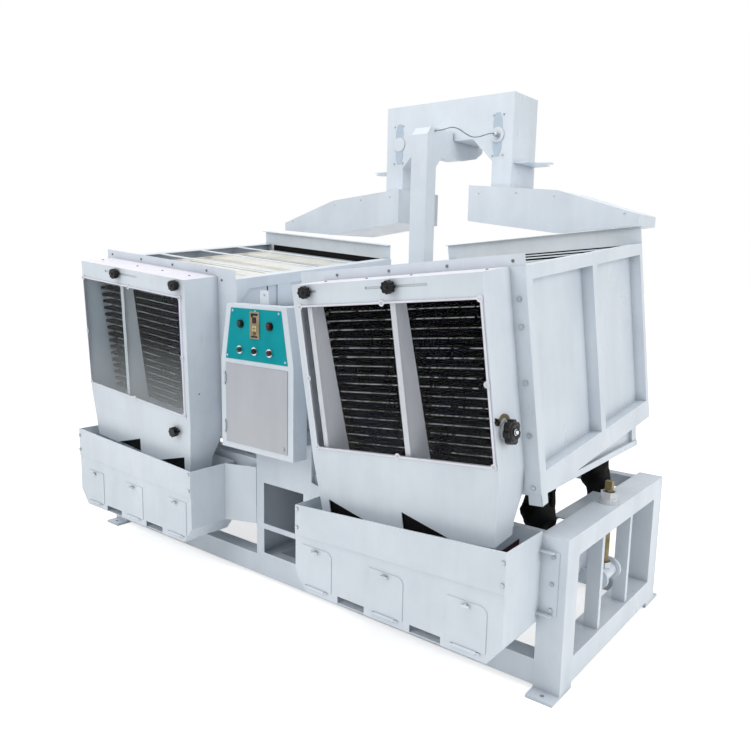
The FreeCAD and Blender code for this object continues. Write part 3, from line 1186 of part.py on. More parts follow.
def motor():
    spot = (0, s.motor_z)
    front, back = s.motor_front, s.motor_front + s.motor_length
    body = rod("motor", "y", spot, s.motor_radius - 10, (front + 30, back - 20))
    fins = [cut("fin", rod("fin_disc", "y", spot, s.motor_radius, (front + 34, back - 24)),
                [block("fin_gap", around(0, s.motor_radius + 1), (front + 33, back - 23), (low, low + 12))
                 for low in [s.motor_z - 96 + 16 * k for k in range(12)]])]
    cowl = cone("cowl", "y", spot, (s.motor_radius - 14, s.motor_radius - 4), (front, front + 32))
    bell = rod("bell", "y", spot, s.motor_radius - 6, (back - 22, back))
    foot_top = s.sill_low + s.sill_height
    plate = block("motor_plate", around(0, s.tower_half - 20), (front, back), (foot_top, foot_top + 12))
    feet = [block("motor_foot", around(side * 70, 18), (front + 50, back - 40), (foot_top + 11, s.motor_z - 40))
            for side in (-1, 1)]
    box = block("terminal_box", around(0, 45), (front + 90, front + 180), (s.motor_z + 70, s.motor_z + 118))
    bore = rod("motor_bore", "y", spot, s.motor_shaft_radius + s.bearing_clearance, (back - 50, back + 1))
    return [cut("motor", fuse("motor", [body, cowl, bell, plate, box] + fins + feet), [bore])]


def bearing_blocks():
    # Split pillow blocks on cross beams between the tower's walls.
    shapes = []
    for y in (s.front_bearing, s.back_bearing):
        span = around(y, s.bearing_width / 2)
        housing = rod("housing", "y", (0, s.drive_z), s.shaft_radius + 26, span)
        foot = block("bearing_foot", around(0, 86), span, (s.drive_z - 64, s.drive_z - 44))
        saddle = block("bearing_saddle", around(0, s.shaft_radius + 22), span, (s.drive_z - 46, s.drive_z))
        beam = block("bearing_beam", around(0, s.tower_half - s.sheet), around(y, s.bearing_width), (s.drive_z - 112,
                                                                                                    s.drive_z - 63))
        bore = rod("bearing_bore", "y", (0, s.drive_z), s.shaft_radius + s.bearing_clearance,
                   around(y, s.bearing_width))
        shapes.append(cut("bearing", fuse("bearing", [housing, foot, saddle, beam]), [bore]))
    return shapes


def connecting_rod(rod_y):
    # A strap ring round the eccentric, a shank and an eye on the body's pin.
    ring_x, ring_z = from_hinge(0, s.drive_z)
    span = around(rod_y, s.rod_thick / 2)
    inner = s.eccentric_radius + s.ring_gap
    ring = rod("strap", "y", (ring_x, ring_z), inner + s.ring_wall, span)
    lugs = [block("strap_lug", around(ring_x, 14), span, around(ring_z + side * (inner + s.ring_wall + 6), 10))
            for side in (-1, 1)]
    shank = block("shank", (ring_x + inner + 4, s.rod_pin_along), span, around(ring_z, s.rod_height / 2))
    eye = rod("rod_eye", "y", (s.rod_pin_along, ring_z), s.rod_pin_radius + 14, span)
    holes = [rod("strap_hole", "y", (ring_x, ring_z), inner, (span[0] - 1, span[1] + 1)),
             rod("eye_hole", "y", (s.rod_pin_along, ring_z), s.rod_pin_radius + s.rod_pin_clearance,
                 (span[0] - 1, span[1] + 1))]
    return [cut("connecting_rod", fuse("connecting_rod", [ring, shank, eye] + lugs), holes)]


def fasteners():
    # Hexagon bolts that hold each trough's flange to a leg, and its front strip.
    shapes = []
    for side in (-1, 1):
        for z in (s.leg_flange_low + 20, s.leg_flange_low + 117, s.leg_flange_low + 217):
            shapes.append(bolt(side * (s.trough_outer + s.leg_flange - 22), -s.skin - 0.3, z))
        for x, climb in ((s.trough_inner + 12, 0), (s.trough_outer - 9, 1)):
            for rise in (34, 112):
                shapes.append(bolt(side * x, -s.trough_depth - s.strip_thick, s.seam_height + climb * s.seam_rise + rise))
    return shapes


def bolt(x, y, z):
    head = add("Part::Prism", "bolt")
    head.Polygon = 6
    head.Placement = FreeCAD.Placement(FreeCAD.Vector(), FreeCAD.Rotation(FreeCAD.Vector(1, 0, 0), 90))
    bind(head, "Circumradius", 8)
    bind(head, "Height", 6)
    return place(head, x, y, z)


# The probe's cable, from the arm's side to the gland, hanging free between its two ends.
CABLE_RADIUS = 3
CABLE_ROUTE = [
    (53.4, 1092, 2246), (82, 1095, 2246), (112, 1106, 2253), (142, 1120, 2262), (174, 1134, 2252),
    (206, 1150, 2226), (240, 1168, 2206), (276, 1184, 2208), (310, 1190, 2218), (328, 1214, 2226.5), (328, 1237.9, 2228)]


def cable_arc(before, corner, after):
    # The arc that rounds one corner of the route, tangent to both of its runs.
    into, out = (corner - before), (after - corner)
    reach = 0.45 * min(into.Length, out.Length)
    turn = into.getAngle(out)
    radius = reach / math.tan(turn / 2)
    start, end = corner - into.normalize() * reach, corner + out.normalize() * reach
    towards = ((start + end) * 0.5 - corner).normalize()
    middle = corner + towards * (radius / math.cos(turn / 2) - radius)
    return start, middle, end, radius


def sensor_cable():
    points = [FreeCAD.Vector(*point) for point in CABLE_ROUTE]
    edges, last, radii = [], points[0], []
    for before, corner, after in zip(points, points[1:], points[2:]):
        start, middle, end, radius = cable_arc(before, corner, after)
        edges += [Part.LineSegment(last, start).toShape(), Part.Arc(start, middle, end).toShape()]
        radii.append(radius)
        last = end
    edges.append(Part.LineSegment(last, points[-1]).toShape())
    path = Part.Wire(edges)
    circle = Part.Wire(Part.Circle(points[0], points[1] - points[0], CABLE_RADIUS).toShape())
    tube = path.makePipeShell([circle], True, True)
    section = math.pi * CABLE_RADIUS ** 2
    print("cable radii", [round(r) for r in radii], "length", round(path.Length), "volume share",
          round(tube.Volume / (section * path.Length), 4))
    feature = add("Part::Feature", "cable")
    feature.Shape = tube
    return feature


def cable_grommet():
    x, y, z = CABLE_ROUTE[0]
    ring = rod("grommet", "x", (y, z), CABLE_RADIUS + 4, (s.column_half, s.column_half + 2.4))
    return ring


def side_extension():
    # The slanting sheet that joins a trough's inner end to the tower.
    front = s.trough_inner
    points = [(s.tower_half + 0.3, -s.skin - 0.3), (s.tower_half + 0.3, -0.3), (front, -60 + s.skin), (front, -60)]
    return prism("extension", "xy", points, (s.trough_side_low, s.trough_top))


def build():
    node("base_frame", base_frame())
    right_frame = node("end_frame_right", [end_frame()])
    mirrored("end_frame_left", right_frame)
    node("tower", [tower()])
    mirrored("cradle_left", node("cradle_right", [cradle()], True))
    mirrored("tilt_screw_left", node("tilt_screw_right", tilt_screw()))
    for name, along in (("inner", s.rocker_inner), ("outer", s.rocker_outer)):
        mirrored(f"rocker_{name}_left", node(f"rocker_{name}_right", rocker(along), True))
    mirrored("boots_left", node("boots_right", boots(), True))
    node("sieve_body_right", sieve_body(s.right_rod_y), True)
    mirrored("sieve_body_left", unlisted("left_body", sieve_body(s.left_rod_y)))
    mirrored("deck_stack_left", node("deck_stack_right", deck_stack(), True))
    mirrored("hood_left", node("hood_right", [pitched("hood", [hood()])], True))
    mirrored("window_left", node("window_right", pane(), True))
    node("divider_inner_right", divider(s.divider_first_right), True)
    mirrored("divider_inner_left", unlisted("left_inner_divider", divider(s.divider_first_left)))
    node("divider_middle_right", divider(s.divider_second_right), True)
    mirrored("divider_middle_left", unlisted("left_divider", divider(s.divider_second_left)))
    node("clamp_wheel", side_wheel(), True)
    mirrored("clamp_knob", unlisted("left_knob", low_knob()))
    mirrored("connecting_rod_left", unlisted("left_rod", connecting_rod(s.left_rod_y)))
    node("connecting_rod_right", connecting_rod(s.right_rod_y), True)
    node("eccentric_shaft", eccentric_shaft())
    node("bearing_blocks", bearing_blocks() + cradle_pivots())
    node("motor", motor())
    node("motor_pulley", motor_pulley())
    node("drive_belts", belts())
    mirrored("trough_left", node("trough_right", trough() + [strip(), side_extension()]))
    for index, word in enumerate(("inner", "middle", "outer")):
        mirrored(f"door_{word}_left", node(f"door_{word}_right", door(index)))
    node("control_box", [control_box()])
    node("control_cover", control_cover())
    node("control_plate", control_plate())
    node("signal_lamps", lamps())
    node("panel_fittings", bezels() + display())
    for side, word in ((-1, "left"), (0, "middle"), (1, "right")):
        node(f"push_button_{word}", push_button(side))
    node("feed_column", feed_column())
    node("distribution_box", distribution_box() + gate_runners())
    node("slide_gate_right", slide_gate(1))
    node("slide_gate_left", slide_gate(-1))
    node("sight_panes", sight_panes())
    node("level_sensor", [level_sensor()[0], cable_grommet()])
    node("sensor_cable", [sensor_cable()])
    chute = feed_chute()[0]
    node("feed_chutes", [chute, mirror_of(chute)])
    nut = lock_nut()
    node("fasteners", fasteners() + [nut, mirror_of(nut)])


def unlisted(name, shapes):
    # A tilted source for a mirrored node that has no twin on the right.
    part = node(name, shapes, True)
    nodes.remove(part)
    return part


def mirror_of(shape):
    image = add("Part::Mirroring", "image")
    image.Source = shape
    image.Normal = FreeCAD.Vector(1, 0, 0)
    return image


def check_and_export():
    doc.recompute()
    failed = [item.Name for item in doc.Objects if "Invalid" in item.State or "Error" in item.State]
    empty = [part.Label for part in nodes if part.Shape.isNull() or not part.Shape.isValid() or not part.Shape.Solids]
    if failed or empty:
        raise RuntimeError(f"failed features {failed}, bad sub-parts {empty}")
    os.makedirs("parts", exist_ok=True)
    for part in nodes:
        part.Shape.exportStep(f"parts/{part.Label}.step")
    print(len(nodes), "sub-parts")


build()
check_and_export()
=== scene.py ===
import json
import math
import random

import bpy
from mathutils import Matrix, Vector


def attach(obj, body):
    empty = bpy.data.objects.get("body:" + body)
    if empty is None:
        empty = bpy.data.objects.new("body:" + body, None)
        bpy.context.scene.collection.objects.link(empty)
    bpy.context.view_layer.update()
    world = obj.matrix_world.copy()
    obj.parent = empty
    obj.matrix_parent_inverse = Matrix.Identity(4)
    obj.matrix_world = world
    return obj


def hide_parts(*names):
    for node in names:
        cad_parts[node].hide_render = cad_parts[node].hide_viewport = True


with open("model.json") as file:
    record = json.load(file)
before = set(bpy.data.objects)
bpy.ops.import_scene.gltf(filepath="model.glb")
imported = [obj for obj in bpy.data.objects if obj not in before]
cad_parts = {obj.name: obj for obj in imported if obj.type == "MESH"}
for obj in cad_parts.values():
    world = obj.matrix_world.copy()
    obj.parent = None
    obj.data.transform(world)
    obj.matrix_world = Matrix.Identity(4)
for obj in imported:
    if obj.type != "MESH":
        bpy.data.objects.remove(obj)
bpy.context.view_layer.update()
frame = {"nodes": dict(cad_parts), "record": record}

nodes = frame["nodes"]
scene = bpy.context.scene
random.seed(4)
sides = {"right": 1, "left": -1}

photo = {
    "centre": (2.347, -2.945, 1.541),   # where the camera stood, in metres
    "yaw": 38.25, "down": 8.87, "roll": 1.14,   # degrees
    "focal": 727.0, "width": 750.0, "sensor": 36.0}

machine = {
    "depthOrigin": 0.642, "hingeX": 0.225, "hingeZ": 0.611, "tilt": 5.0,
    "pitch": 5.4, "bodyAlong": 0.6575, "bodyDrop": 0.0224}


def setCamera(p=photo):
    data = bpy.data.cameras.new("camera")
    data.sensor_fit = "HORIZONTAL"
    data.sensor_width = p["sensor"]
    data.lens = p["focal"] / p["width"] * p["sensor"]
    data.clip_end = 60
    camera = bpy.data.objects.new("camera", data)
    yaw, down = math.radians(p["yaw"]), math.radians(p["down"])
    forward = Vector((-math.sin(yaw) * math.cos(down), math.cos(yaw) * math.cos(down), -math.sin(down)))
    rightward = forward.cross(Vector((0, 0, 1))).normalized()
    upward = rightward.cross(forward)
    roll = math.radians(p["roll"])
    acrossAxis = rightward * math.cos(roll) + upward * math.sin(roll)
    upAxis = upward * math.cos(roll) - rightward * math.sin(roll)
    turn = Matrix((acrossAxis, upAxis, -forward)).transposed()
    camera.matrix_world = Matrix.Translation(p["centre"]) @ turn.to_4x4()
    scene.collection.objects.link(camera)
    scene.camera = camera


# Node helpers for the finishes


def grey(level):
    return (level, level, level)


def newMaterial(name, colour, roughness=0.45, metal=0.0, coat=0.0, shine=0.5):
    material = bpy.data.materials.new(name)
    material.use_nodes = True
    shader = material.node_tree.nodes["Principled BSDF"]
    shader.inputs["Base Color"].default_value = (*colour, 1)
    shader.inputs["Roughness"].default_value = roughness
    shader.inputs["Metallic"].default_value = metal
    shader.inputs["Coat Weight"].default_value = coat
    shader.inputs["Specular IOR Level"].default_value = shine
    return material, material.node_tree, shader


def addNode(tree, kind, **settings):
    node = tree.nodes.new(kind)
    for key, value in settings.items():
        if key in node.inputs:
            node.inputs[key].default_value = value
        else:
            setattr(node, key, value)
    return node


def objectPlace(tree, stretch=(1, 1, 1)):
    place = addNode(tree, "ShaderNodeTexCoord")
    fit = addNode(tree, "ShaderNodeMapping")
    fit.inputs["Scale"].default_value = stretch
    tree.links.new(place.outputs["Object"], fit.inputs["Vector"])
    return fit.outputs["Vector"]


def noiseOf(tree, scale, detail=4.0, roughness=0.55, stretch=(1, 1, 1)):
    noise = addNode(tree, "ShaderNodeTexNoise", Scale=scale, Detail=detail, Roughness=roughness)
    tree.links.new(objectPlace(tree, stretch), noise.inputs["Vector"])
    return noise.outputs["Fac"]


def cellsOf(tree, scale, stretch=(1, 1, 1)):
    cells = addNode(tree, "ShaderNodeTexVoronoi", Scale=scale)
    tree.links.new(objectPlace(tree, stretch), cells.inputs["Vector"])
    return cells.outputs["Distance"]


def rampOf(tree, source, stops):
    ramp = addNode(tree, "ShaderNodeValToRGB")
    elements = ramp.color_ramp.elements
    while len(elements) < len(stops):
        elements.new(0.5)
    for element, (place, colour) in zip(elements, stops):
        element.position = place
        element.color = (*colour, 1)
    tree.links.new(source, ramp.inputs["Fac"])
    return ramp.outputs["Color"]


def blendOf(tree, first, second, mode="MULTIPLY", share=1.0):
    mix = addNode(tree, "ShaderNodeMix", data_type="RGBA", blend_type=mode)
    mix.inputs[0].default_value = share
    tree.links.new(first, mix.inputs[6])
    tree.links.new(second, mix.inputs[7])
    return mix.outputs[2]


def bumpTo(tree, shader, height, strength, distance):
    bump = addNode(tree, "ShaderNodeBump", Strength=strength, Distance=distance)
    tree.links.new(height, bump.inputs["Height"])
    tree.links.new(bump.outputs["Normal"], shader.inputs["Normal"])


# Sprayed enamel: slightly blue white with dusty clouds, painted shade darkening the corners, and orange peel

paint = {
    "peelSize": 240.0, "peelDepth": 0.00015, "paintedShadeReach": 0.05,
    "paintedShadeTone": 0.62, "roughLow": 0.26, "roughHigh": 0.48,
    "cloudSize": 2.2, "streakSize": 9.0, "streakTone": 0.90, "streakShare": 0.5}


def paintMaterial(name, colour, dust, p=paint):
    material, tree, shader = newMaterial(name, colour)
    tone = rampOf(tree, noiseOf(tree, p["cloudSize"], 5.0, 0.6), [(0.30, dust), (0.62, colour)])
    streak = noiseOf(tree, p["streakSize"], 6.0, 0.65, (1, 1, 0.18))
    drips = rampOf(tree, streak, [(0.30, grey(p["streakTone"])), (0.55, grey(1.0))])
    marked = blendOf(tree, tone, drips, "MULTIPLY", p["streakShare"])
    # Painted shade: the colour darkens where nearby surfaces hem it in, standing for shade in corners and creases
    corner = addNode(tree, "ShaderNodeAmbientOcclusion", Distance=p["paintedShadeReach"], samples=6)
    shade = rampOf(tree, corner.outputs["AO"], [(0.25, grey(p["paintedShadeTone"])), (0.85, grey(1.0))])
    tree.links.new(blendOf(tree, marked, shade), shader.inputs["Base Color"])
    gloss = rampOf(tree, streak, [(0.25, grey(p["roughHigh"])), (0.7, grey(p["roughLow"]))])
    tree.links.new(gloss, shader.inputs["Roughness"])
    bumpTo(tree, shader, noiseOf(tree, p["peelSize"], 2.0, 0.5), 0.35, p["peelDepth"])
    return material


def wornMaterial(name, colour, stain, roughness, metal, grain=60.0, depth=0.0003, coat=0.0, shine=0.5):
    # A surface whose colour, gloss and height all vary with one grain
    material, tree, shader = newMaterial(name, colour, roughness, metal, coat, shine)
    cloud = noiseOf(tree, grain / 6, 5.0, 0.6)
    tree.links.new(rampOf(tree, cloud, [(0.32, stain), (0.62, colour)]), shader.inputs["Base Color"])
    rough = [(0.3, grey(min(1.0, roughness * 1.35))), (0.7, grey(roughness * 0.8))]
    tree.links.new(rampOf(tree, cloud, rough), shader.inputs["Roughness"])
    bumpTo(tree, shader, noiseOf(tree, grain, 4.0, 0.6), 0.4, depth)
    return material


acrylic = {"bend": 1.08, "hazeLow": 0.85, "smearSize": 5.0, "roughLow": 0.02, "roughHigh": 0.07}


def paneMaterial(name, colour, clear, hazy, shine, hazeTop=1.35, p=acrylic):
    # Clear acrylic whose haze grows towards the lower edge of the pane
    material, tree, shader = newMaterial(name, colour, 0.03, shine=shine)
    shader.inputs["IOR"].default_value = p["bend"]
    split = addNode(tree, "ShaderNodeSeparateXYZ")
    tree.links.new(objectPlace(tree), split.inputs[0])
    rise = addNode(tree, "ShaderNodeMapRange")
    rise.inputs["From Min"].default_value = p["hazeLow"]
    rise.inputs["From Max"].default_value = hazeTop
    rise.inputs["To Min"].default_value = hazy
    rise.inputs["To Max"].default_value = clear
    tree.links.new(split.outputs["Z"], rise.inputs["Value"])
    tree.links.new(rise.outputs["Result"], shader.inputs["Transmission Weight"])
    smear = noiseOf(tree, p["smearSize"], 5.0, 0.6, (1, 1, 0.5))
    gloss = rampOf(tree, smear, [(0.3, grey(p["roughLow"])), (0.75, grey(p["roughHigh"]))])
    tree.links.new(gloss, shader.inputs["Roughness"])
    return material


deckSheet = {
    "dark": (0.0010, 0.0010, 0.0022), "navy": (0.0030, 0.0045, 0.0200), "sheenSize": 2.6, "patchSize": 9.0,
    "patchShare": 0.35, "bare": 0.90, "coverShare": 0.24, "edgeWidth": 0.05}


def deckMaterial(name, cover, speck, size=170.0, p=deckSheet):
    # Dark pressed sheet with pale specks; cover is how much of it the specks take
    material, tree, shader = newMaterial(name, p["dark"], 0.6, shine=0.0)
    specks = noiseOf(tree, size, 3.0, 0.7)
    sheen = rampOf(tree, noiseOf(tree, p["sheenSize"], 2.0, 0.5), [(0.48, p["dark"]), (0.70, p["navy"])])
    patch = noiseOf(tree, p["patchSize"], 3.0, 0.6)
    both = addNode(tree, "ShaderNodeMath", operation="MULTIPLY_ADD")
    tree.links.new(patch, both.inputs[0])
    both.inputs[1].default_value = p["patchShare"]
    tree.links.new(specks, both.inputs[2])
    edge = p["bare"] - p["coverShare"] * cover
    paleSpecks = rampOf(tree, both.outputs[0], [(edge, grey(0.0)), (edge + p["edgeWidth"], speck)])
    tree.links.new(blendOf(tree, sheen, paleSpecks, "ADD"), shader.inputs["Base Color"])
    bumpTo(tree, shader, specks, 0.5, 0.0006)
    return material


def dottedCream():
    # The upper plate: cream enamel with rows of dark dimples
    material, tree, shader = newMaterial("creamDeck", (0.92, 0.90, 0.84), 0.4)
    cloud = rampOf(tree, noiseOf(tree, 7.0, 5.0, 0.6), [(0.3, (0.66, 0.64, 0.57)), (0.6, (0.80, 0.79, 0.75))])
    dots = rampOf(tree, cellsOf(tree, 70.0, (1, 0.7, 0)), [(0.10, grey(0.55)), (0.20, grey(1.0))])
    tree.links.new(blendOf(tree, cloud, dots), shader.inputs["Base Color"])
    return material


finishes = {
    "white_paint": paintMaterial("whitePaint", (0.735, 0.800, 0.865), (0.640, 0.705, 0.775)),
    "dark_steel": deckMaterial("deckSteel", 0.12, (0.10, 0.11, 0.15)),
    "bare_steel": wornMaterial("bareSteel", (0.56, 0.58, 0.61), (0.36, 0.38, 0.41), 0.34, 0.9, 90.0),
    "clear_pane": paneMaterial("clearPane", (0.96, 0.97, 0.99), 0.999, 0.994, 0.05),
    "black_knob": wornMaterial("blackPlastic", (0.0030, 0.0030, 0.0035), (0.009, 0.009, 0.010), 0.30, 0.0,
                               120.0, 0.0001, shine=0.22),
    "rubber": wornMaterial("blackRubber", (0.0012, 0.0012, 0.0015), (0.006, 0.006, 0.006), 0.60, 0.0,
                           70.0, 0.0012, shine=0.15),
    "cable_jacket": wornMaterial("cableJacket", (0.13, 0.14, 0.16), (0.30, 0.31, 0.33), 0.45, 0.0, 160.0),
    "brass": wornMaterial("brass", (0.31, 0.25, 0.12), (0.12, 0.10, 0.04), 0.42, 0.55, 70.0),
    "cast_iron": wornMaterial("castIron", (0.10, 0.11, 0.12), (0.05, 0.055, 0.06), 0.62, 0.5, 110.0, 0.0008),
    "teal_paint": wornMaterial("tealEnamel", (0.0008, 0.325, 0.370), (0.0008, 0.290, 0.335), 0.50, 0.0,
                               40.0, 0.0001, shine=0.12),
    "lamp_lens": wornMaterial("redLens", (0.13, 0.004, 0.004), (0.05, 0.002, 0.002), 0.16, 0.0,
                              60.0, 0.0001, shine=0.35),
    "chrome": wornMaterial("chrome", (0.80, 0.81, 0.83), (0.66, 0.67, 0.70), 0.10, 1.0, 40.0, 0.00005),
    "motor_paint": wornMaterial("motorEnamel", (0.06, 0.10, 0.16), (0.04, 0.07, 0.11), 0.42, 0.0, 60.0)}
greenLens = wornMaterial("greenLens", (0.002, 0.040, 0.020), (0.001, 0.012, 0.008), 0.16, 0.0,
                         60.0, 0.0001, shine=0.35)
hazyPane = paneMaterial("hazyPane", (0.84, 0.88, 0.90), 0.992, 0.88, 0.08, 1.15)
# Painted highlight: a pale lavender white for light caught in the panes' edges and rims; it also whitens the screw
# washers
paneHighlightAndWasher = wornMaterial("paneHighlightAndWasher", (0.86, 0.86, 0.93), (0.74, 0.75, 0.84), 0.25, 0.0, 60.0, 0.0001)
creamDeck = dottedCream()
# Painted glint: a purple-blue line of light on the left pane's inner edge
edgeGlint = wornMaterial("edgeGlint", (0.12, 0.08, 0.36), (0.05, 0.03, 0.20), 0.25, 0.0, 60.0, 0.0001)
darkReddish = wornMaterial("darkReddish", (0.070, 0.012, 0.010), (0.020, 0.004, 0.004), 0.60, 0.0, 90.0, 0.001)
deckRim = deckMaterial("deckRim", 1.02, (0.46, 0.47, 0.49), 95.0)
deckFleck = deckMaterial("deckFleck", 0.45, (0.16, 0.18, 0.24))
# Painted light: the dividers behind the panes get a brighter white to make up for the light the panes keep out
brightenedDividerPaint = paintMaterial("brightenedDividerPaint", (0.93, 0.95, 0.98), (0.85, 0.88, 0.92))
dimScrew = wornMaterial("dimScrew", (0.20, 0.21, 0.24), (0.08, 0.09, 0.10), 0.45, 0.3, 90.0)
sightGlass = wornMaterial("sightGlass", (0.50, 0.60, 0.70), (0.38, 0.48, 0.58), 0.20, 0.0, 14.0, 0.0001, 0.3)
coverPaint = paintMaterial("coverPaint", (0.500, 0.515, 0.550), (0.450, 0.470, 0.515))
# Painted light: a lighter rose white for the hoods' flat tops, where light falls from above
litTopRose = paintMaterial("litTopRose", (0.84, 0.82, 0.89), (0.76, 0.75, 0.83))
crumpledWhite = wornMaterial("crumpledWrap", (0.68, 0.70, 0.72), (0.42, 0.44, 0.46), 0.42, 0.15, 50.0, 0.003)
displayTan = wornMaterial("displayTan", (0.34, 0.29, 0.18), (0.22, 0.17, 0.10), 0.45, 0.0, 60.0)
displayRed = wornMaterial("displayRed", (0.060, 0.002, 0.004), (0.020, 0.001, 0.001), 0.20, 0.0,
                          60.0, 0.0001, shine=0.3)
displayKey = wornMaterial("displayKey", (0.72, 0.66, 0.42), (0.55, 0.48, 0.26), 0.45, 0.0, 60.0)
displayBrown = wornMaterial("displayBrown", (0.17, 0.10, 0.04), (0.10, 0.06, 0.03), 0.45, 0.0, 60.0)
print("finishes mixed")


# Where things are: the sloping sieve bodies have their own axes


def bodyMatrix(side, m=machine):
    # From a body's own axes (along, depth, height, in metres) to the row frame
    tilt, pitch = math.radians(m["tilt"]), math.radians(m["pitch"])
    along = Vector((side * math.cos(tilt), 0, math.sin(tilt)))
    risen = Vector((-side * math.sin(tilt), 0, math.cos(tilt)))
    depth = Vector((0, math.cos(pitch), 0)) + risen * math.sin(pitch)
    height = Vector((0, -math.sin(pitch), 0)) + risen * math.cos(pitch)
    origin = Vector((side * m["hingeX"], -m["depthOrigin"], m["hingeZ"]))
    origin += along * m["bodyAlong"] - risen * m["bodyDrop"]
    turn = Matrix((along, depth, height)).transposed().to_4x4()
    return Matrix.Translation(origin) @ turn


def machineMatrix(m=machine):
    return Matrix.Translation((0, -m["depthOrigin"], 0))


frontFacing = Matrix.Rotation(math.radians(90), 4, "X")     # local Z looks to the discharge side
backFacing = Matrix.Rotation(math.radians(-90), 4, "X")
rightFacing = Matrix.Rotation(math.radians(90), 4, "Y")
leftFacing = Matrix.Rotation(math.radians(-90), 4, "Y")
upFacing = Matrix.Identity(4)


def at(space, x, y, z, facing=upFacing):
    return space @ Matrix.Translation((x, y, z)) @ facing


# Mesh parts: (corner places, faces, material number)


def lathe(profile, steps=16, matter=0, closed=False):
    # Turns (radius, height) pairs round local Z; closed joins the last ring to the first
    places, faces, rings = [], [], []
    for radius, height in profile:
        count = steps if radius > 1e-7 else 1
        rings.append([len(places) + k for k in range(count)])
        for k in range(count):
            angle = 2 * math.pi * (k + 0.5) / steps
            places.append(Vector((radius * math.cos(angle), radius * math.sin(angle), height)))
    pairs = list(zip(rings, rings[1:] + rings[:1])) if closed else list(zip(rings, rings[1:]))
    for low, high in pairs:
        for k in range(steps):
            n = (k + 1) % steps
            if len(low) == 1:
                faces.append((low[0], high[n], high[k]))
            elif len(high) == 1:
                faces.append((low[k], low[n], high[0]))
            else:
                faces.append((low[k], low[n], high[n], high[k]))
    return places, faces, matter


def slab(low, high, matter=0):
    # A plain flat bar or strip between two corners
    x0, y0, z0 = low
    x1, y1, z1 = high
    outline = [(x0, y0), (x1, y0), (x1, y1), (x0, y1)]
    count = len(outline)
    places = [Vector((x, y, z)) for z in (z0, z1) for x, y in outline]
    faces = [tuple(range(count - 1, -1, -1)), tuple(range(count, 2 * count))]
    faces += [(k, (k + 1) % count, count + (k + 1) % count, count + k) for k in range(count)]
    return places, faces, matter


def plate(outline, front, back, matter=0):
    # A flat plate whose outline is given by its along and height places
    count = len(outline)
    places = [Vector((along, depth, up)) for depth in (front, back) for along, up in outline]
    faces = [tuple(range(count)), tuple(range(2 * count - 1, count - 1, -1))]
    faces += [(k, count + k, count + (k + 1) % count, (k + 1) % count) for k in range(count)]
    return places, faces, matter


def put(part, matrix):
    places, faces, matter = part
    moved = [matrix @ place for place in places]
    if matrix.determinant() < 0:
        faces = [tuple(reversed(face)) for face in faces]
    return moved, faces, matter


def addPiece(name, parts, body, slotName, materials=None, smooth=True):
    places, faces, matters = [], [], []
    for partPlaces, partFaces, matter in parts:
        start = len(places)
        places += partPlaces
        faces += [tuple(start + index for index in face) for face in partFaces]
        matters += [matter] * len(partFaces)
    mesh = bpy.data.meshes.new(name)
    mesh.from_pydata(places, [], faces)
    for material in materials or [finishes[slotName]]:
        mesh.materials.append(material)
    mesh.polygons.foreach_set("material_index", matters)
    piece = bpy.data.objects.new(name, mesh)
    scene.collection.objects.link(piece)
    if smooth:
        mesh.polygons.foreach_set("use_smooth", [True] * len(faces))
        mesh.set_sharp_from_angle(angle=math.radians(42))
    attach(piece, body)
    return piece


fixing = {"sunk": -0.0006, "washerReach": 1.55, "washerEdge": 1.45, "washerRise": 0.0012, "washerTop": 0.0018}


def screwHead(radius, height, matter=0, p=fixing):
    # A cheese head with a slot-like dimple
    sunk = p["sunk"]
    return lathe([(0, sunk), (radius, sunk), (radius, height * 0.45), (radius * 0.86, height * 0.85),
                  (radius * 0.45, height), (radius * 0.30, height * 0.7), (0, height * 0.62)], 12, matter)


def hexBolt(radius, height, matter=0, p=fixing):
    rim, edge, rise, top = radius * p["washerReach"], radius * p["washerEdge"], p["washerRise"], p["washerTop"]
    washer = lathe([(0, p["sunk"]), (rim, p["sunk"]), (rim, rise), (edge, top), (0, top)], 18, matter)
    head = lathe([(0, 0.001), (radius, 0.001), (radius, height * 0.86), (radius * 0.88, height), (0, height)],
                 6, matter)
    return [washer, head]


# CAD pieces: eased edges and their finishes

edges = {"paintedEase": 0.0016, "fineEase": 0.0006, "limit": 38.0, "parts": 2}
fineNodes = (
    "push_button", "signal_lamps", "panel_fittings", "level_sensor", "sight_panes", "window", "control_plate",
    "door_", "control_cover", "deck_stack", "divider", "fasteners", "hood", "trough")


def easeEdges(piece, width, e=edges):
    bevel = piece.modifiers.new("easedEdges", "BEVEL")
    bevel.width = width
    bevel.segments = e["parts"]
    bevel.limit_method = "ANGLE"
    bevel.angle_limit = math.radians(e["limit"])
    bevel.use_clamp_overlap = True
    bevel.harden_normals = False


def faceMiddle(mesh, polygon):
    return sum((mesh.vertices[index].co for index in polygon.vertices), Vector()) / len(polygon.vertices)


def dress(name, materials, choose):
    # choose gives the material number of each face from its middle and normal
    mesh = nodes[name].data
    mesh.materials.clear()
    for material in materials:
        mesh.materials.append(material)
    for polygon in mesh.polygons:
        polygon.material_index = choose(faceMiddle(mesh, polygon), polygon.normal)


def dressNodes():
    for row in frame["record"]["subparts"]:
        name = row["node"]
        piece = nodes[name]
        piece.data.materials.clear()
        piece.data.materials.append(finishes[row["material_slot"]])
        if name in ("sensor_cable", "boots_right", "boots_left"):
            continue
        fine = name.startswith(fineNodes)
        easeEdges(piece, edges["fineEase"] if fine else edges["paintedEase"])


parting = {
    "hoodFace": -0.203, "upperDeck": 0.815, "noseEnd": -0.008, "latchFace": -0.2661, "latchLow": 0.33,
    "screwBare": 0.345, "displayReach": 0.031, "displayLow": 1.18, "hoodTop": 0.862, "flat": 0.9,
    "nutLow": 0.59, "nutInner": 1.28, "knuckleEnd": -0.1955}


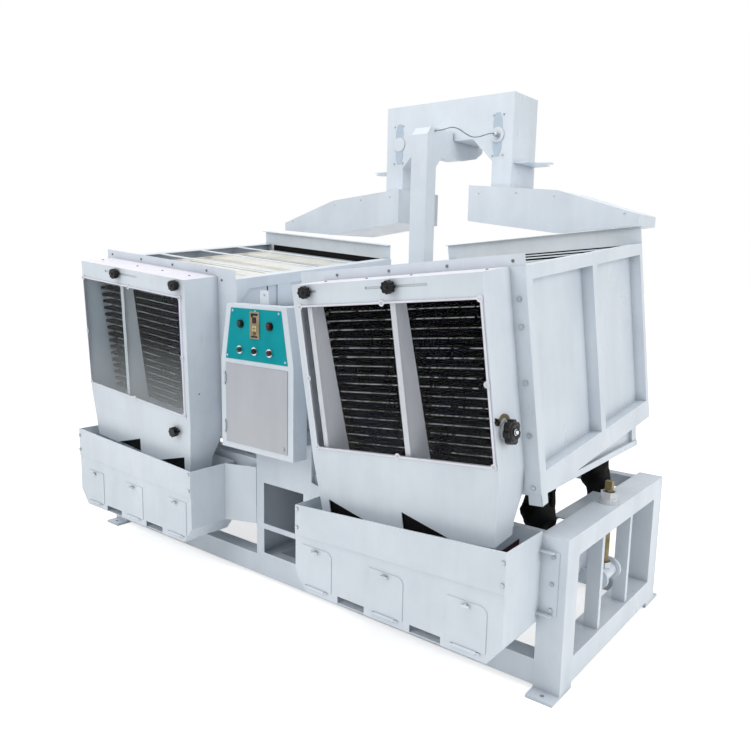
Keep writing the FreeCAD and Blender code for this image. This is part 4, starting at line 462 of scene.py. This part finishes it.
def dressBody(word, side, p=parting, m=machine):
    white, toBody = finishes["white_paint"], bodyMatrix(side).inverted()

    def knobOrPlate(middle, normal):
        return int((toBody @ middle).y < p["hoodFace"])

    def upperDeck(middle, normal):
        spot = toBody @ middle
        return int(spot.z > p["upperDeck"] and spot.y > p["noseEnd"])

    def latch(middle, normal):
        return int(middle.y + m["depthOrigin"] < p["latchFace"] and middle.z > p["latchLow"])

    def bareThread(middle, normal):
        return int(middle.z > p["screwBare"])

    def flatTop(middle, normal):
        return int((toBody @ middle).z > p["hoodTop"] and normal.z > p["flat"])

    def sawnEdge(middle, normal):
        return int(abs(normal.y) < p["flat"])

    for place in ("inner", "middle"):
        dress(f"divider_{place}_{word}", [brightenedDividerPaint, finishes["black_knob"]], knobOrPlate)
    dress(f"deck_stack_{word}", [finishes["dark_steel"], creamDeck], upperDeck)
    for place in ("inner", "middle", "outer"):
        dress(f"door_{place}_{word}", [white, finishes["bare_steel"]], latch)
    dress(f"tilt_screw_{word}", [white, finishes["brass"]], bareThread)
    # Painted light: the hood's flat up-facing top faces take the lighter rose white
    dress(f"hood_{word}", [white, litTopRose], flatTop)
    # Painted highlight: the panes' sawn edges take the pale lavender white
    dress(f"window_{word}", [finishes["clear_pane"] if side > 0 else hazyPane, paneHighlightAndWasher], sawnEdge)


def dressPanel(p=parting):
    def onDisplay(middle, normal):
        if middle.z <= p["displayLow"]:
            return 0
        return 2 if abs(middle.x) < p["displayReach"] else 1

    dress("signal_lamps", [greenLens, finishes["lamp_lens"]], lambda middle, normal: int(middle.x > 0))
    dress("panel_fittings", [finishes["chrome"], finishes["black_knob"], displayTan], onDisplay)
    dress("control_cover", [coverPaint, finishes["white_paint"]],
          lambda middle, normal: int(middle.x < p["knuckleEnd"]))
    nodes["push_button_left"].data.materials[0] = greenLens
    nodes["push_button_middle"].data.materials[0] = finishes["black_knob"]
    nodes["push_button_right"].data.materials[0] = displayRed


def dressMixedNodes(p=parting):
    for word, side in sides.items():
        dressBody(word, side)
    dressPanel()
    dress("fasteners", [finishes["bare_steel"], crumpledWhite],
          lambda middle, normal: int(middle.z > p["nutLow"] and abs(middle.x) > p["nutInner"]))
    nodes["sight_panes"].data.materials[0] = sightGlass


# Sieve decks: rims with pale specks and rows of dimples behind them

decks = {
    "first": 0.170, "pitch": 0.036, "count": 19, "front": -0.064, "step": 0.0032, "sheet": 0.0015,
    "low": -0.468, "high": 0.356, "rimDrop": 0.0018, "rimRise": 0.0012, "rimThick": 0.0012,
    "rows": (0.007, 0.019, 0.032), "dimpleStep": 0.0128, "dimpleRadius": 0.0034, "dimpleRise": 0.0018,
    "dimpleSpread": (0.7, 1.15), "stepSpread": (0.85, 1.15), "rowStart": 0.01, "rowEnd": 0.008, "skip": 0.16,
    "dotRows": ((0.418, 0.0050), (0.600, 0.0030), (0.820, 0.0056), (1.056, 0.0030)), "dotStep": 0.0125,
    "dotLow": -0.570, "dotHigh": 0.300, "dotRise": 0.0006}


def deckRims(word, side, p=decks):
    space = bodyMatrix(side)
    rims, dimples = [], []
    for index in range(p["count"]):
        level = p["first"] + index * p["pitch"]
        front = p["front"] - index * p["step"]
        rim = slab((p["low"], front - p["rimThick"], level - p["rimDrop"]),
                   (p["high"], front, level + p["rimRise"]))
        rims.append(put(rim, space))
        for row in p["rows"]:
            along = p["low"] + p["rowStart"] + random.random() * p["dimpleStep"]
            while along < p["high"] - p["rowEnd"]:
                if random.random() > p["skip"]:
                    radius = p["dimpleRadius"] * random.uniform(*p["dimpleSpread"])
                    dome = lathe([(0, 0.0), (radius, 0.0), (radius * 0.55, p["dimpleRise"] * 0.8),
                                  (0, p["dimpleRise"])], 6)
                    dimples.append(put(dome, at(space, along, front + row, level + p["sheet"])))
                along += p["dimpleStep"] * random.uniform(*p["stepSpread"])
    addPiece(f"deckRims_{word}", rims, f"sieve_body_{word}", "dark_steel", [deckRim], smooth=False)
    addPiece(f"deckDimples_{word}", dimples, f"sieve_body_{word}", "dark_steel", [deckFleck])


def topDots(word, side, p=decks):
    # Rows of dark pits across the cream plate on top
    space = bodyMatrix(side)
    level = p["first"] + (p["count"] - 1) * p["pitch"] + p["sheet"]
    pits = []
    for depth, radius in p["dotRows"]:
        along = p["dotLow"]
        while along < p["dotHigh"]:
            pit = lathe([(0, 0.0), (radius, 0.0), (radius * 0.8, p["dotRise"]), (0, p["dotRise"])], 8)
            pits.append(put(pit, at(space, along, depth, level)))
            along += p["dotStep"]
    addPiece(f"topPits_{word}", pits, f"sieve_body_{word}", "dark_steel")


# A black strip under each body's rear flange, painted shade where the rear wall lies dark

rearShadeStrip = {"low": -0.585, "high": 0.350, "front": 1.1275, "back": 1.1288, "under": 0.826, "over": 0.8605}


def rearShadeStrips(word, side, p=rearShadeStrip):
    # Painted shade: black rubber stands for the dark band above the top deck
    strip = slab((p["low"], p["front"], p["under"]), (p["high"], p["back"], p["over"]))
    addPiece(f"rearShadeStrip_{word}", [put(strip, bodyMatrix(side))], f"sieve_body_{word}", "rubber", smooth=False)


# Hoods: pane screws, flange bolts and the small screws of the flat top

hood = {
    "face": -0.203, "paneThick": 0.005, "screwAlong": (-0.441, -0.042, 0.355), "screwUp": (0.220, 0.500, 0.780),
    "screwRadius": 0.0060, "screwHeight": 0.0048, "washerRadius": 0.0115, "washerEdge": 0.0105,
    "washerRise": 0.0011, "washerTop": 0.0014, "washerSunk": -0.0003,
    "flangeAlong": 0.396, "flangeFace": -0.0223, "flangeUp": (0.090, 0.280, 0.466, 0.660, 0.754),
    "boltRadius": 0.0060, "boltHeight": 0.0055,
    "topUp": 0.864, "topAlong": (-0.385, -0.180, 0.024, 0.330), "topDepth": -0.104, "topScrew": (0.0052, 0.0032),
    "headAlong": (-0.400, -0.140, 0.120, 0.380), "headUp": 0.882, "headFace": -0.016,
    "headScrew": (0.0058, 0.0036), "closeAlong": -0.508, "closeUp": (0.849, 0.300),
    "dotAlong": -0.476, "dotDepth": -0.144, "dotUp": 0.320, "dotRadius": 0.0036, "dotSunk": -0.0004,
    "dotRise": 0.0003, "borderAlong": (-0.4455, 0.3625), "borderUp": (0.2135, 0.7855), "borderWide": 0.0075,
    "borderThick": 0.0007, "borderSunk": 0.0003, "glintLow": 0.400, "glintWide": 0.004,
    "slotUp": 0.836, "slotHalf": 0.009, "slotSpans": ((-0.446, -0.346), (-0.118, 0.162)), "slotBack": -0.1994,
    "slotThick": 0.001}


def hoodScrewPlaces(p=hood):
    # A screw at every corner and edge middle of the pane, but none in its centre
    centre = (p["screwAlong"][1], p["screwUp"][1])
    return [(along, up) for up in p["screwUp"] for along in p["screwAlong"] if (along, up) != centre]


def paneBorder(side, p=hood):
    # The pale rim round a pane, a painted highlight along its edges, a round washer under each screw, and a painted
    # purple glint on the left pane's inner edge
    face = p["face"] - p["paneThick"]
    front, back = face - p["borderThick"], face + p["borderSunk"]
    low, high, wide = p["borderAlong"], p["borderUp"], p["borderWide"]
    spans = [(low[0], low[1], high[0], high[0] + wide), (low[0], low[1], high[1] - wide, high[1]),
             (low[0], low[0] + wide, high[0] + wide, high[1] - wide),
             (low[1] - wide, low[1], high[0] + wide, high[1] - wide)]
    parts = [slab((x0, front, z0), (x1, back, z1)) for x0, x1, z0, z1 in spans]
    sunk, radius, top = p["washerSunk"], p["washerRadius"], p["washerTop"]
    washer = lathe([(0, sunk), (radius, sunk), (radius, p["washerRise"]), (p["washerEdge"], top), (0, top)], 18)
    parts += [put(washer, at(upFacing, along, face, up, frontFacing)) for along, up in hoodScrewPlaces()]
    # Painted glint strip along the left pane's inner edge
    if side < 0:
        inner = low[0] + wide
        parts.append(slab((inner, front, p["glintLow"]), (inner + p["glintWide"], back, high[1] - wide), 1))
    return parts


def hoodScrews(space, p=hood):
    paneHead = screwHead(p["screwRadius"], p["screwHeight"])
    paneFace = p["face"] - p["paneThick"] - 0.001
    screws = [put(paneHead, at(space, along, paneFace, up, frontFacing)) for along, up in hoodScrewPlaces()]
    topHead, frontHead = screwHead(*p["topScrew"], 1), screwHead(*p["headScrew"], 1)
    screws += [put(topHead, at(space, along, p["topDepth"], p["topUp"])) for along in p["topAlong"]]
    frontSpots = [(along, p["headUp"]) for along in p["headAlong"]] + [(p["closeAlong"], up) for up in p["closeUp"]]
    screws += [put(frontHead, at(space, along, p["headFace"], up, frontFacing)) for along, up in frontSpots]
    return screws


def hoodHardware(word, side, p=hood):
    space, body = bodyMatrix(side), f"sieve_body_{word}"
    border = addPiece(f"paneBorder_{word}", [put(part, space) for part in paneBorder(side)], body, "clear_pane",
                      [paneHighlightAndWasher, edgeGlint], smooth=False)
    easeEdges(border, edges["fineEase"] / 2)
    addPiece(f"paneScrews_{word}", hoodScrews(space), body, "bare_steel", [finishes["bare_steel"], dimScrew])
    sunk, radius, rise = p["dotSunk"], p["dotRadius"], p["dotRise"]
    dot = lathe([(0, sunk), (radius, sunk), (radius, rise), (0, rise)], 14)
    addPiece(f"hoodHole_{word}", [put(dot, at(space, p["dotAlong"], p["dotDepth"], p["dotUp"], leftFacing))],
             body, "black_knob")
    low, high = p["slotUp"] - p["slotHalf"], p["slotUp"] + p["slotHalf"]
    strips = [slab((x0, p["slotBack"], low), (x1, p["slotBack"] + p["slotThick"], high)) for x0, x1 in p["slotSpans"]]
    addPiece(f"slotStrips_{word}", [put(strip, space) for strip in strips], body, "white_paint", smooth=False)
    bolts = []
    for up in p["flangeUp"]:
        spot = at(space, p["flangeAlong"], p["flangeFace"], up, frontFacing)
        bolts += [put(part, spot) for part in hexBolt(p["boltRadius"], p["boltHeight"])]
    addPiece(f"flangeBolts_{word}", bolts, body, "bare_steel")


# The hoods' lower edges, which hang into the troughs, and black plates behind their notches as painted shade

skirt = {
    "front": -0.203, "thick": 0.003, "high": -0.0435, "low": -0.072, "innerHigh": -0.462, "innerLow": -0.460,
    "outerHigh": 0.334, "outerLow": 0.3296, "sideBack": -0.074, "notches": (-0.418, -0.056), "slopeHigh": 0.131,
    "slopeLow": 0.211, "notchTop": 0.002, "shadeBack": -0.192, "footLow": 0.024, "footHigh": 0.061,
    "footFront": -0.016, "footBack": 0.030, "footInner": 0.373, "footOuter": 0.425}


def hoodSkirts(word, side, p=skirt):
    front, back, high, low = p["front"], p["front"] + p["thick"], p["high"], p["low"]
    first, second = p["notches"]
    outlines = [((p["innerHigh"], high), (p["innerLow"], low), (first, low), (first, high)),
                ((first + p["slopeHigh"], high), (first + p["slopeLow"], low), (second, low), (second, high)),
                ((second + p["slopeHigh"], high), (second + p["slopeLow"], low), (p["outerLow"], low),
                 (p["outerHigh"], high))]
    parts = [plate(outline, front, back) for outline in outlines]
    for top, bottom, inward in ((p["innerHigh"], p["innerLow"], p["thick"]), (p["outerHigh"], p["outerLow"], -p["thick"])):
        cheek = ((top, high), (bottom, low), (bottom + inward, low), (top + inward, high))
        parts.append(plate(cheek if inward > 0 else cheek[::-1], back, p["sideBack"]))
    # Painted shade: a black plate behind each notch where the trough's inside lies dark
    for start in p["notches"]:
        shade = ((start - 0.006, p["notchTop"] + 0.012), (start - 0.006, low), (start + p["slopeLow"] + 0.03, low))
        parts.append(plate(shade, p["shadeBack"], p["shadeBack"] + 0.001, 1))
    for x0, x1, v0, v1 in ((p["footInner"], p["footOuter"], p["footFront"], p["footFront"] + p["thick"]),
                           (p["footOuter"] - p["thick"], p["footOuter"], p["footFront"], p["footBack"])):
        parts.append(slab((x0, v0, p["footLow"]), (x1, v1, p["footHigh"])))
    piece = addPiece(f"hoodSkirt_{word}", [put(part, bodyMatrix(side)) for part in parts], f"sieve_body_{word}",
                     "white_paint", [finishes["white_paint"], finishes["rubber"]], smooth=False)
    easeEdges(piece, edges["fineEase"])


knobs = {
    "right": {"inner": -0.394, "middle": 0.006}, "left": {"inner": -0.424, "middle": 0.044},
    "up": 0.836, "face": -0.236, "capRadius": 0.0078}


def knobCaps(p=knobs):
    # The bright stud end in the middle of each divider's knob
    for word, side in sides.items():
        for place in ("inner", "middle"):
            spot = at(bodyMatrix(side), p[word][place], p["face"], p["up"], frontFacing)
            cap = lathe([(0, -0.001), (p["capRadius"], -0.001), (p["capRadius"], 0.002), (0.005, 0.0045), (0, 0.005)], 14)
            addPiece(f"knobCap_{place}_{word}", [put(cap, spot)], f"divider_{place}_{word}", "black_knob")


# Sagging rubber boots round the rocker arms; each holds the arm's head in its open crown

boots = {
    "along": 0.980, "depths": (0.160, 0.720), "steps": 30, "lump": 0.0050, "crown": 0.024, "well": -0.026, "bore": 0.044,
    "rings": {   # heights above the arm's head and radii, from the foot up
        0.160: ((-0.158, 0.030), (-0.150, 0.046), (-0.128, 0.058), (-0.108, 0.066), (-0.088, 0.071), (-0.066, 0.070),
                (-0.046, 0.066), (-0.034, 0.059), (-0.020, 0.053), (0.000, 0.050), (0.016, 0.049)),
        0.720: ((-0.160, 0.026), (-0.148, 0.040), (-0.128, 0.050), (-0.112, 0.052), (-0.092, 0.060), (-0.074, 0.066),
                (-0.056, 0.067), (-0.042, 0.063), (-0.028, 0.057), (-0.012, 0.060), (0.006, 0.055), (0.016, 0.052))},
    "sleeve": ((0.050, -0.052, 0.016), (0.056, -0.034, 0.0125), (0.058, -0.016, 0.0105), (0.057, 0.004, 0.0115),
               (0.058, 0.020, 0.0150))}   # along, height, radius of the front boot's side sleeve


def saggingBoot(depth, p=boots):
    profile = [(0.0, p["rings"][depth][0][0])] + [(radius, height) for height, radius in p["rings"][depth]]
    profile += [(p["bore"] + 0.004, p["crown"]), (p["bore"], p["crown"]), (p["bore"], p["well"]), (0.0, p["well"])]
    places, faces, matter = lathe(profile, p["steps"])
    for place in places:
        swell = math.hypot(place.x, place.y)
        if swell > p["bore"] + 0.002 and place.z < p["crown"] - 0.004:
            angle = math.atan2(place.y, place.x)
            lump = math.sin(3 * angle + 46 * place.z) + 0.7 * math.sin(5 * angle - 80 * place.z + 1.3 + 9 * depth)
            grow = 1 - p["lump"] * (1.2 - lump) / swell
            place.x *= grow
            place.y *= grow
    return places, faces, matter


def bootSleeve(p=boots):
    # The narrow fold that stands up beside the front boot's crown
    places, faces, steps = [], [], 12
    for along, height, radius in p["sleeve"]:
        for k in range(steps):
            angle = 2 * math.pi * k / steps
            places.append(Vector((along + radius * math.cos(angle), 0.8 * radius * math.sin(angle), height)))
    for ring in range(len(p["sleeve"]) - 1):
        low, high = ring * steps, (ring + 1) * steps
        faces += [(low + k, low + (k + 1) % steps, high + (k + 1) % steps, high + k) for k in range(steps)]
    last = len(places) - steps
    faces += [tuple(range(steps - 1, -1, -1)), tuple(range(last, last + steps))]
    return places, faces, 0


def rubberBoots(p=boots, m=machine):
    tilt = math.radians(m["tilt"])
    for word, side in sides.items():
        along = Vector((side * math.cos(tilt), 0, math.sin(tilt)))
        risen = Vector((-side * math.sin(tilt), 0, math.cos(tilt)))
        turn = Matrix((along, Vector((0, 1, 0)), risen)).transposed().to_4x4()
        hinge = Vector((side * m["hingeX"], -m["depthOrigin"], m["hingeZ"]))
        parts = []
        for depth in p["depths"]:
            head = hinge + along * p["along"] + Vector((0, depth, 0))
            space = Matrix.Translation(head) @ turn
            parts.append(put(saggingBoot(depth), space))
            if depth == p["depths"][0]:
                parts.append(put(bootSleeve(), space))
        piece = addPiece(f"saggingBoots_{word}", parts, f"rocker_outer_{word}", "rubber")
        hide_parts(f"boots_{word}")


# A dark reddish band on the right trough's rear wall, seen past the hood's foot

redBand = {"outline": ((1.110, 0.430), (1.214, 0.430), (1.214, 0.562), (1.110, 0.462)), "front": -0.0060, "back": -0.0045}


def troughRedBand(p=redBand):
    strip = plate(p["outline"], p["front"], p["back"])
    addPiece("troughRedBand", [put(strip, machineMatrix())], "root", "white_paint", [darkReddish], smooth=False)


# Control panel

panel = {
    "displayParts": (   # shares of the half width and of the height, rise, material
        (-0.75, 0.75, 0.86, 0.94, 0.0008, 2), (-0.72, -0.30, 0.80, 0.87, 0.0009, 2), (-0.42, 0.42, 0.58, 0.80, 0.0008, 2),
        (-0.30, 0.30, 0.61, 0.76, 0.0016, 0), (-0.42, 0.42, 0.28, 0.48, 0.0014, 1), (-0.06, 0.06, 0.30, 0.46, 0.0018, 3),
        (-0.34, 0.34, 0.365, 0.395, 0.0019, 3), (-0.70, 0.70, 0.05, 0.11, 0.0008, 2)),
    "face": -0.167, "screws": ((-0.145, 1.316), (0.0, 1.318), (0.145, 1.316), (-0.184, 1.114), (0.184, 1.114)),
    "lampAlong": 0.092, "lampUp": 1.260, "lampReach": 0.012, "lensRadius": 0.0115,
    "buttonAlong": 0.094, "buttonUp": 1.146, "buttonReach": 0.015,
    "displayFace": -0.173, "displayHalf": 0.029, "displayLow": 1.200, "displayHigh": 1.317}


def controlPanel(p=panel):
    space = machineMatrix()
    screws = [put(screwHead(0.0055, 0.003), at(space, x, p["face"], z, frontFacing)) for x, z in p["screws"]]
    addPiece("plateScrews", screws, "root", "bare_steel")
    for word, side, matter in (("left", -1, greenLens), ("right", 1, finishes["lamp_lens"])):
        lens = lathe([(0, -0.001), (p["lensRadius"], -0.001), (p["lensRadius"], 0.002), (0.0095, 0.0055),
                      (0.005, 0.0078), (0, 0.0085)], 20)
        place = at(space, side * p["lampAlong"], p["face"] - p["lampReach"], p["lampUp"], frontFacing)
        addPiece(f"lampLens_{word}", [put(lens, place)], "root", "lamp_lens", [matter])
    for side, word in ((-1, "left"), (0, "middle"), (1, "right")):
        crown = lathe([(0, -0.001), (0.0098, -0.001), (0.0098, 0.0008), (0.006, 0.0026), (0, 0.003)], 20)
        place = at(space, side * p["buttonAlong"], p["face"] - p["buttonReach"], p["buttonUp"], frontFacing)
        material = {-1: greenLens, 0: finishes["black_knob"], 1: displayRed}[side]
        addPiece(f"buttonCrown_{word}", [put(crown, place)], f"push_button_{word}", "black_knob", [material])
    face, half, low, high = p["displayFace"], p["displayHalf"], p["displayLow"], p["displayHigh"]
    parts = [slab((x0 * half, face - rise, low + z0 * (high - low)), (x1 * half, face + 0.0005, low + z1 * (high - low)),
                  matter) for x0, x1, z0, z1, rise, matter in p["displayParts"]]
    knob = put(lathe([(0, -0.001), (0.0095, -0.001), (0.0095, 0.0015), (0.006, 0.0028), (0, 0.003)], 18, 3),
               at(Matrix.Identity(4), 0, face, low + 0.21 * (high - low), frontFacing))
    addPiece("displayFront", [put(part, space) for part in parts + [knob]], "root", "lamp_lens",
             [displayRed, displayKey, finishes["black_knob"], displayBrown], smooth=False)


# Feed head: screws round the sight panes, rivets on the chutes

feedHead = {
    "sightAlong": 0.332, "low": 2.120, "high": 2.331, "half": 0.031, "face": 1.279,
    "chuteFace": 1.160, "rivets": ((0.30, 1.915), (0.52, 1.905), (0.730, 1.884), (1.091, 1.790))}


def feedHardware(p=feedHead):
    space = machineMatrix()
    screws = []
    for side in (-1, 1):
        for along in (-p["half"], p["half"]):
            for up in (p["low"], p["high"]):
                place = at(space, side * p["sightAlong"] + along, p["face"], up, frontFacing)
                screws.append(put(screwHead(0.0050, 0.003), place))
        for x, z in p["rivets"]:
            screws.append(put(screwHead(0.006, 0.003), at(space, side * x, p["chuteFace"], z, frontFacing)))
    addPiece("feedScrews", screws, "root", "bare_steel")


# Clamp wheel's bolt and brass sleeve

wheel = {
    "along": 0.368, "depth": -0.139, "up": 0.326, "reach": 0.037, "boltDepth": -0.126, "boltUp": 0.327,
    "scaleDepth": -0.143, "scaleUp": 0.342, "scaleInner": 0.033, "scaleOuter": 0.045, "scaleThick": 0.004,
    "scaleFrom": 20, "scaleTo": 160, "scaleSteps": 22, "blockDepth": -0.191, "blockUp": 0.371, "blockHalf": 0.0085}


def wheelScale(p=wheel):
    # A brass half ring on the hood's side, behind the wheel
    places, faces = [], []
    for step in range(p["scaleSteps"] + 1):
        angle = math.radians(p["scaleFrom"] + (p["scaleTo"] - p["scaleFrom"]) * step / p["scaleSteps"])
        for radius, off in ((p["scaleInner"], 0.0), (p["scaleOuter"], 0.0), (p["scaleOuter"], p["scaleThick"]),
                            (p["scaleInner"], p["scaleThick"])):
            places.append(Vector((p["along"] + off, p["scaleDepth"] + radius * math.cos(angle),
                                  p["scaleUp"] + radius * math.sin(angle))))
    for step in range(p["scaleSteps"]):
        base = 4 * step
        faces += [(base + k, base + (k + 1) % 4, base + 4 + (k + 1) % 4, base + 4 + k) for k in range(4)]
    last = 4 * p["scaleSteps"]
    faces += [(3, 2, 1, 0), (last, last + 1, last + 2, last + 3)]
    return places, faces, 0


def wheelHardware(p=wheel):
    space = bodyMatrix(1)
    spot = at(space, p["along"] + p["reach"], p["depth"], p["up"], rightFacing)
    face = lathe([(0, -0.001), (0.033, -0.001), (0.0325, 0.0015), (0.027, 0.0045), (0.022, 0.0035), (0.018, 0.0012),
                  (0.014, 0.0012), (0.012, 0.0052), (0.008, 0.0062), (0, 0.0062)], 28)
    addPiece("wheelFace", [put(face, spot)], "clamp_wheel", "black_knob")
    seat = lathe([(0, 0), (0.030, 0), (0.030, 0.004), (0.026, 0.009), (0, 0.009)], 24)
    addPiece("wheelSeat", [put(seat, at(space, p["along"], p["depth"], p["up"], rightFacing))], "sieve_body_right",
             "white_paint")
    bolt = [put(part, at(space, p["along"] + p["reach"] + 0.004, p["depth"], p["up"], rightFacing))
            for part in hexBolt(0.0075, 0.008)]
    addPiece("wheelBolt", bolt, "clamp_wheel", "chrome")
    addPiece("wheelScale", [put(wheelScale(), space)], "sieve_body_right", "brass")
    half = p["blockHalf"]
    block = slab((0.0, -half, -half), (0.009, half, half))
    tip = slab((0.0, 0.002, half), (0.005, 0.005, half + 0.007))
    turned = at(space, p["along"], p["blockDepth"], p["blockUp"]) @ Matrix.Rotation(math.radians(40), 4, "X")
    addPiece("scaleStop", [put(block, turned), put(tip, turned)], "sieve_body_right", "black_knob", smooth=False)


# The left body's inner side: a raised sheet frame round sunk panels

innerSide = {
    "wall": -0.600, "proud": 0.008, "topLow": 0.814, "topHigh": 0.864, "front": -0.016, "back": 1.132,
    "gusset": ((-0.016, 0.8145), (0.060, 0.8145), (-0.016, 0.730)), "postFront": 0.242, "postBack": 0.330,
    "rearPost": 1.060, "low": 0.062, "railHigh": 0.150, "slotDepth": 0.181, "slotLow": 0.760, "slotHigh": 0.8145}


def innerFrames(word, side, p=innerSide):
    face, proud = p["wall"], p["wall"] - p["proud"]
    bars = [((p["front"], p["topLow"]), (p["back"], p["topHigh"])), ((p["postFront"], p["railHigh"]),
            (p["postBack"], p["topLow"])), ((p["rearPost"], p["railHigh"]), (p["back"], p["topLow"])),
            ((p["front"], p["low"]), (p["back"], p["railHigh"]))]
    parts = [slab((proud, low[0], low[1]), (face + 0.001, high[0], high[1])) for low, high in bars]
    corner = [Vector((x, v, w)) for x in (proud, face + 0.001) for v, w in p["gusset"]]
    parts.append((corner, [(0, 2, 1), (3, 4, 5), (0, 1, 4, 3), (1, 2, 5, 4), (2, 0, 3, 5)], 0))
    space = bodyMatrix(side)
    piece = addPiece(f"innerFrame_{word}", [put(part, space) for part in parts], f"sieve_body_{word}", "white_paint",
                     smooth=False)
    easeEdges(piece, edges["fineEase"])
    gap = slab((face - 0.001, p["slotDepth"] - 0.003, p["slotLow"]), (face + 0.001, p["slotDepth"] + 0.003, p["slotHigh"]))
    addPiece(f"innerGap_{word}", [put(gap, space)], f"sieve_body_{word}", "rubber", smooth=False)


# The probe's cable

cable = {
    "diameter": 0.006, "length": 0.345, "depthOrigin": 642.0,
    "route": [(53.4, 1092, 2246), (82, 1095, 2246), (112, 1106, 2253), (142, 1120, 2262), (174, 1134, 2252),
              (206, 1150, 2226), (240, 1168, 2206), (276, 1184, 2208), (310, 1190, 2218), (328, 1214, 2226.5),
              (328, 1237.9, 2228)]}   # millimetres


def cablePoint(point, p=cable):
    return (point[0] / 1000, (point[1] - p["depthOrigin"]) / 1000, point[2] / 1000)


def sensorCable(p=cable):
    curve = bpy.data.curves.new("sensorCable", "CURVE")
    curve.dimensions = "3D"
    spline = curve.splines.new("NURBS")
    spline.points.add(len(p["route"]) - 1)
    for point, place in zip(spline.points, p["route"]):
        point.co = (*cablePoint(place), 1)
    spline.order_u = 3
    spline.use_endpoint_u = True
    spline.resolution_u = 12
    curve.bevel_depth = p["diameter"] / 2
    curve.bevel_resolution = 5
    curve.use_fill_caps = True
    curve.materials.append(finishes["cable_jacket"])
    piece = bpy.data.objects.new("sensorCable", curve)
    scene.collection.objects.link(piece)
    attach(piece, "root")
    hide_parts("sensor_cable")


# Floor, backdrop and light

studio = {"floorSize": 40.0, "white": 1.0, "floorTone": 0.9, "worldTone": 0.55, "shadow": 0.62}


def notSeenByLamps(tree):
    # 1 on camera, glossy and transmission rays, 0 on the light that falls on the object
    rays = addNode(tree, "ShaderNodeLightPath")
    seen = addNode(tree, "ShaderNodeMath", operation="MAXIMUM")
    through = addNode(tree, "ShaderNodeMath", operation="MAXIMUM")
    tree.links.new(rays.outputs["Is Camera Ray"], seen.inputs[0])
    tree.links.new(rays.outputs["Is Glossy Ray"], seen.inputs[1])
    tree.links.new(seen.outputs[0], through.inputs[0])
    tree.links.new(rays.outputs["Is Transmission Ray"], through.inputs[1])
    return through.outputs[0]


def stageFloor(p=studio):
    material = bpy.data.materials.new("stageFloor")
    material.use_nodes = True
    tree = material.node_tree
    tree.nodes.clear()
    diffuse = addNode(tree, "ShaderNodeBsdfDiffuse", Color=(*grey(p["floorTone"]), 1))
    glow = addNode(tree, "ShaderNodeEmission", Color=(*grey(p["white"]), 1))
    glow.inputs["Strength"].default_value = p["shadow"]
    both = addNode(tree, "ShaderNodeAddShader")
    choose = addNode(tree, "ShaderNodeMixShader")
    out = addNode(tree, "ShaderNodeOutputMaterial")
    tree.links.new(diffuse.outputs[0], both.inputs[0])
    tree.links.new(glow.outputs[0], both.inputs[1])
    tree.links.new(notSeenByLamps(tree), choose.inputs[0])
    tree.links.new(diffuse.outputs[0], choose.inputs[1])
    tree.links.new(both.outputs[0], choose.inputs[2])
    tree.links.new(choose.outputs[0], out.inputs["Surface"])
    size = p["floorSize"]
    mesh = bpy.data.meshes.new("stageFloor")
    mesh.from_pydata([(-size, -size, 0), (size, -size, 0), (size, size, 0), (-size, size, 0)], [], [(0, 1, 2, 3)])
    floor = bpy.data.objects.new("stageFloor", mesh)
    mesh.materials.append(material)
    scene.collection.objects.link(floor)


def worldLight(p=studio):
    world = bpy.data.worlds.new("studio")
    world.use_nodes = True
    tree = world.node_tree
    background = tree.nodes["Background"]
    level = addNode(tree, "ShaderNodeMapRange")
    level.inputs["To Min"].default_value = p["worldTone"]
    level.inputs["To Max"].default_value = p["white"]
    tree.links.new(notSeenByLamps(tree), level.inputs["Value"])
    tree.links.new(level.outputs["Result"], background.inputs["Strength"])
    background.inputs["Color"].default_value = (1, 1, 1, 1)
    scene.world = world


def areaLamp(name, place, target, size, power):
    data = bpy.data.lights.new(name, "AREA")
    data.size = size
    data.energy = power
    lamp = bpy.data.objects.new(name, data)
    lamp.location = place
    aim = Vector(target) - Vector(place)
    lamp.rotation_euler = aim.to_track_quat("-Z", "Y").to_euler()
    scene.collection.objects.link(lamp)


def lightStage():
    stageFloor()
    worldLight()
    areaLamp("keyLamp", (-1.5, -6.0, 4.2), (0, 0, 0.9), 3.0, 84)
    areaLamp("topLamp", (0.5, -1.0, 6.0), (0, 0, 0.5), 4.0, 125)
    areaLamp("sideLamp", (6.0, -0.5, 3.0), (0, 0, 1.0), 3.0, 70)
    scene.view_settings.view_transform = "Standard"


setCamera()
dressNodes()
dressMixedNodes()
print("nodes dressed")
sensorCable()
print("cable laid")
for word, side in sides.items():
    deckRims(word, side)
    topDots(word, side)
    rearShadeStrips(word, side)
    innerFrames(word, side)
    hoodHardware(word, side)
    hoodSkirts(word, side)
troughRedBand()
knobCaps()
print("hoods and decks finished")
rubberBoots()
print("boots fitted")
controlPanel()
feedHardware()
wheelHardware()
print("panel and fittings placed")
lightStage()
print("stage lit")
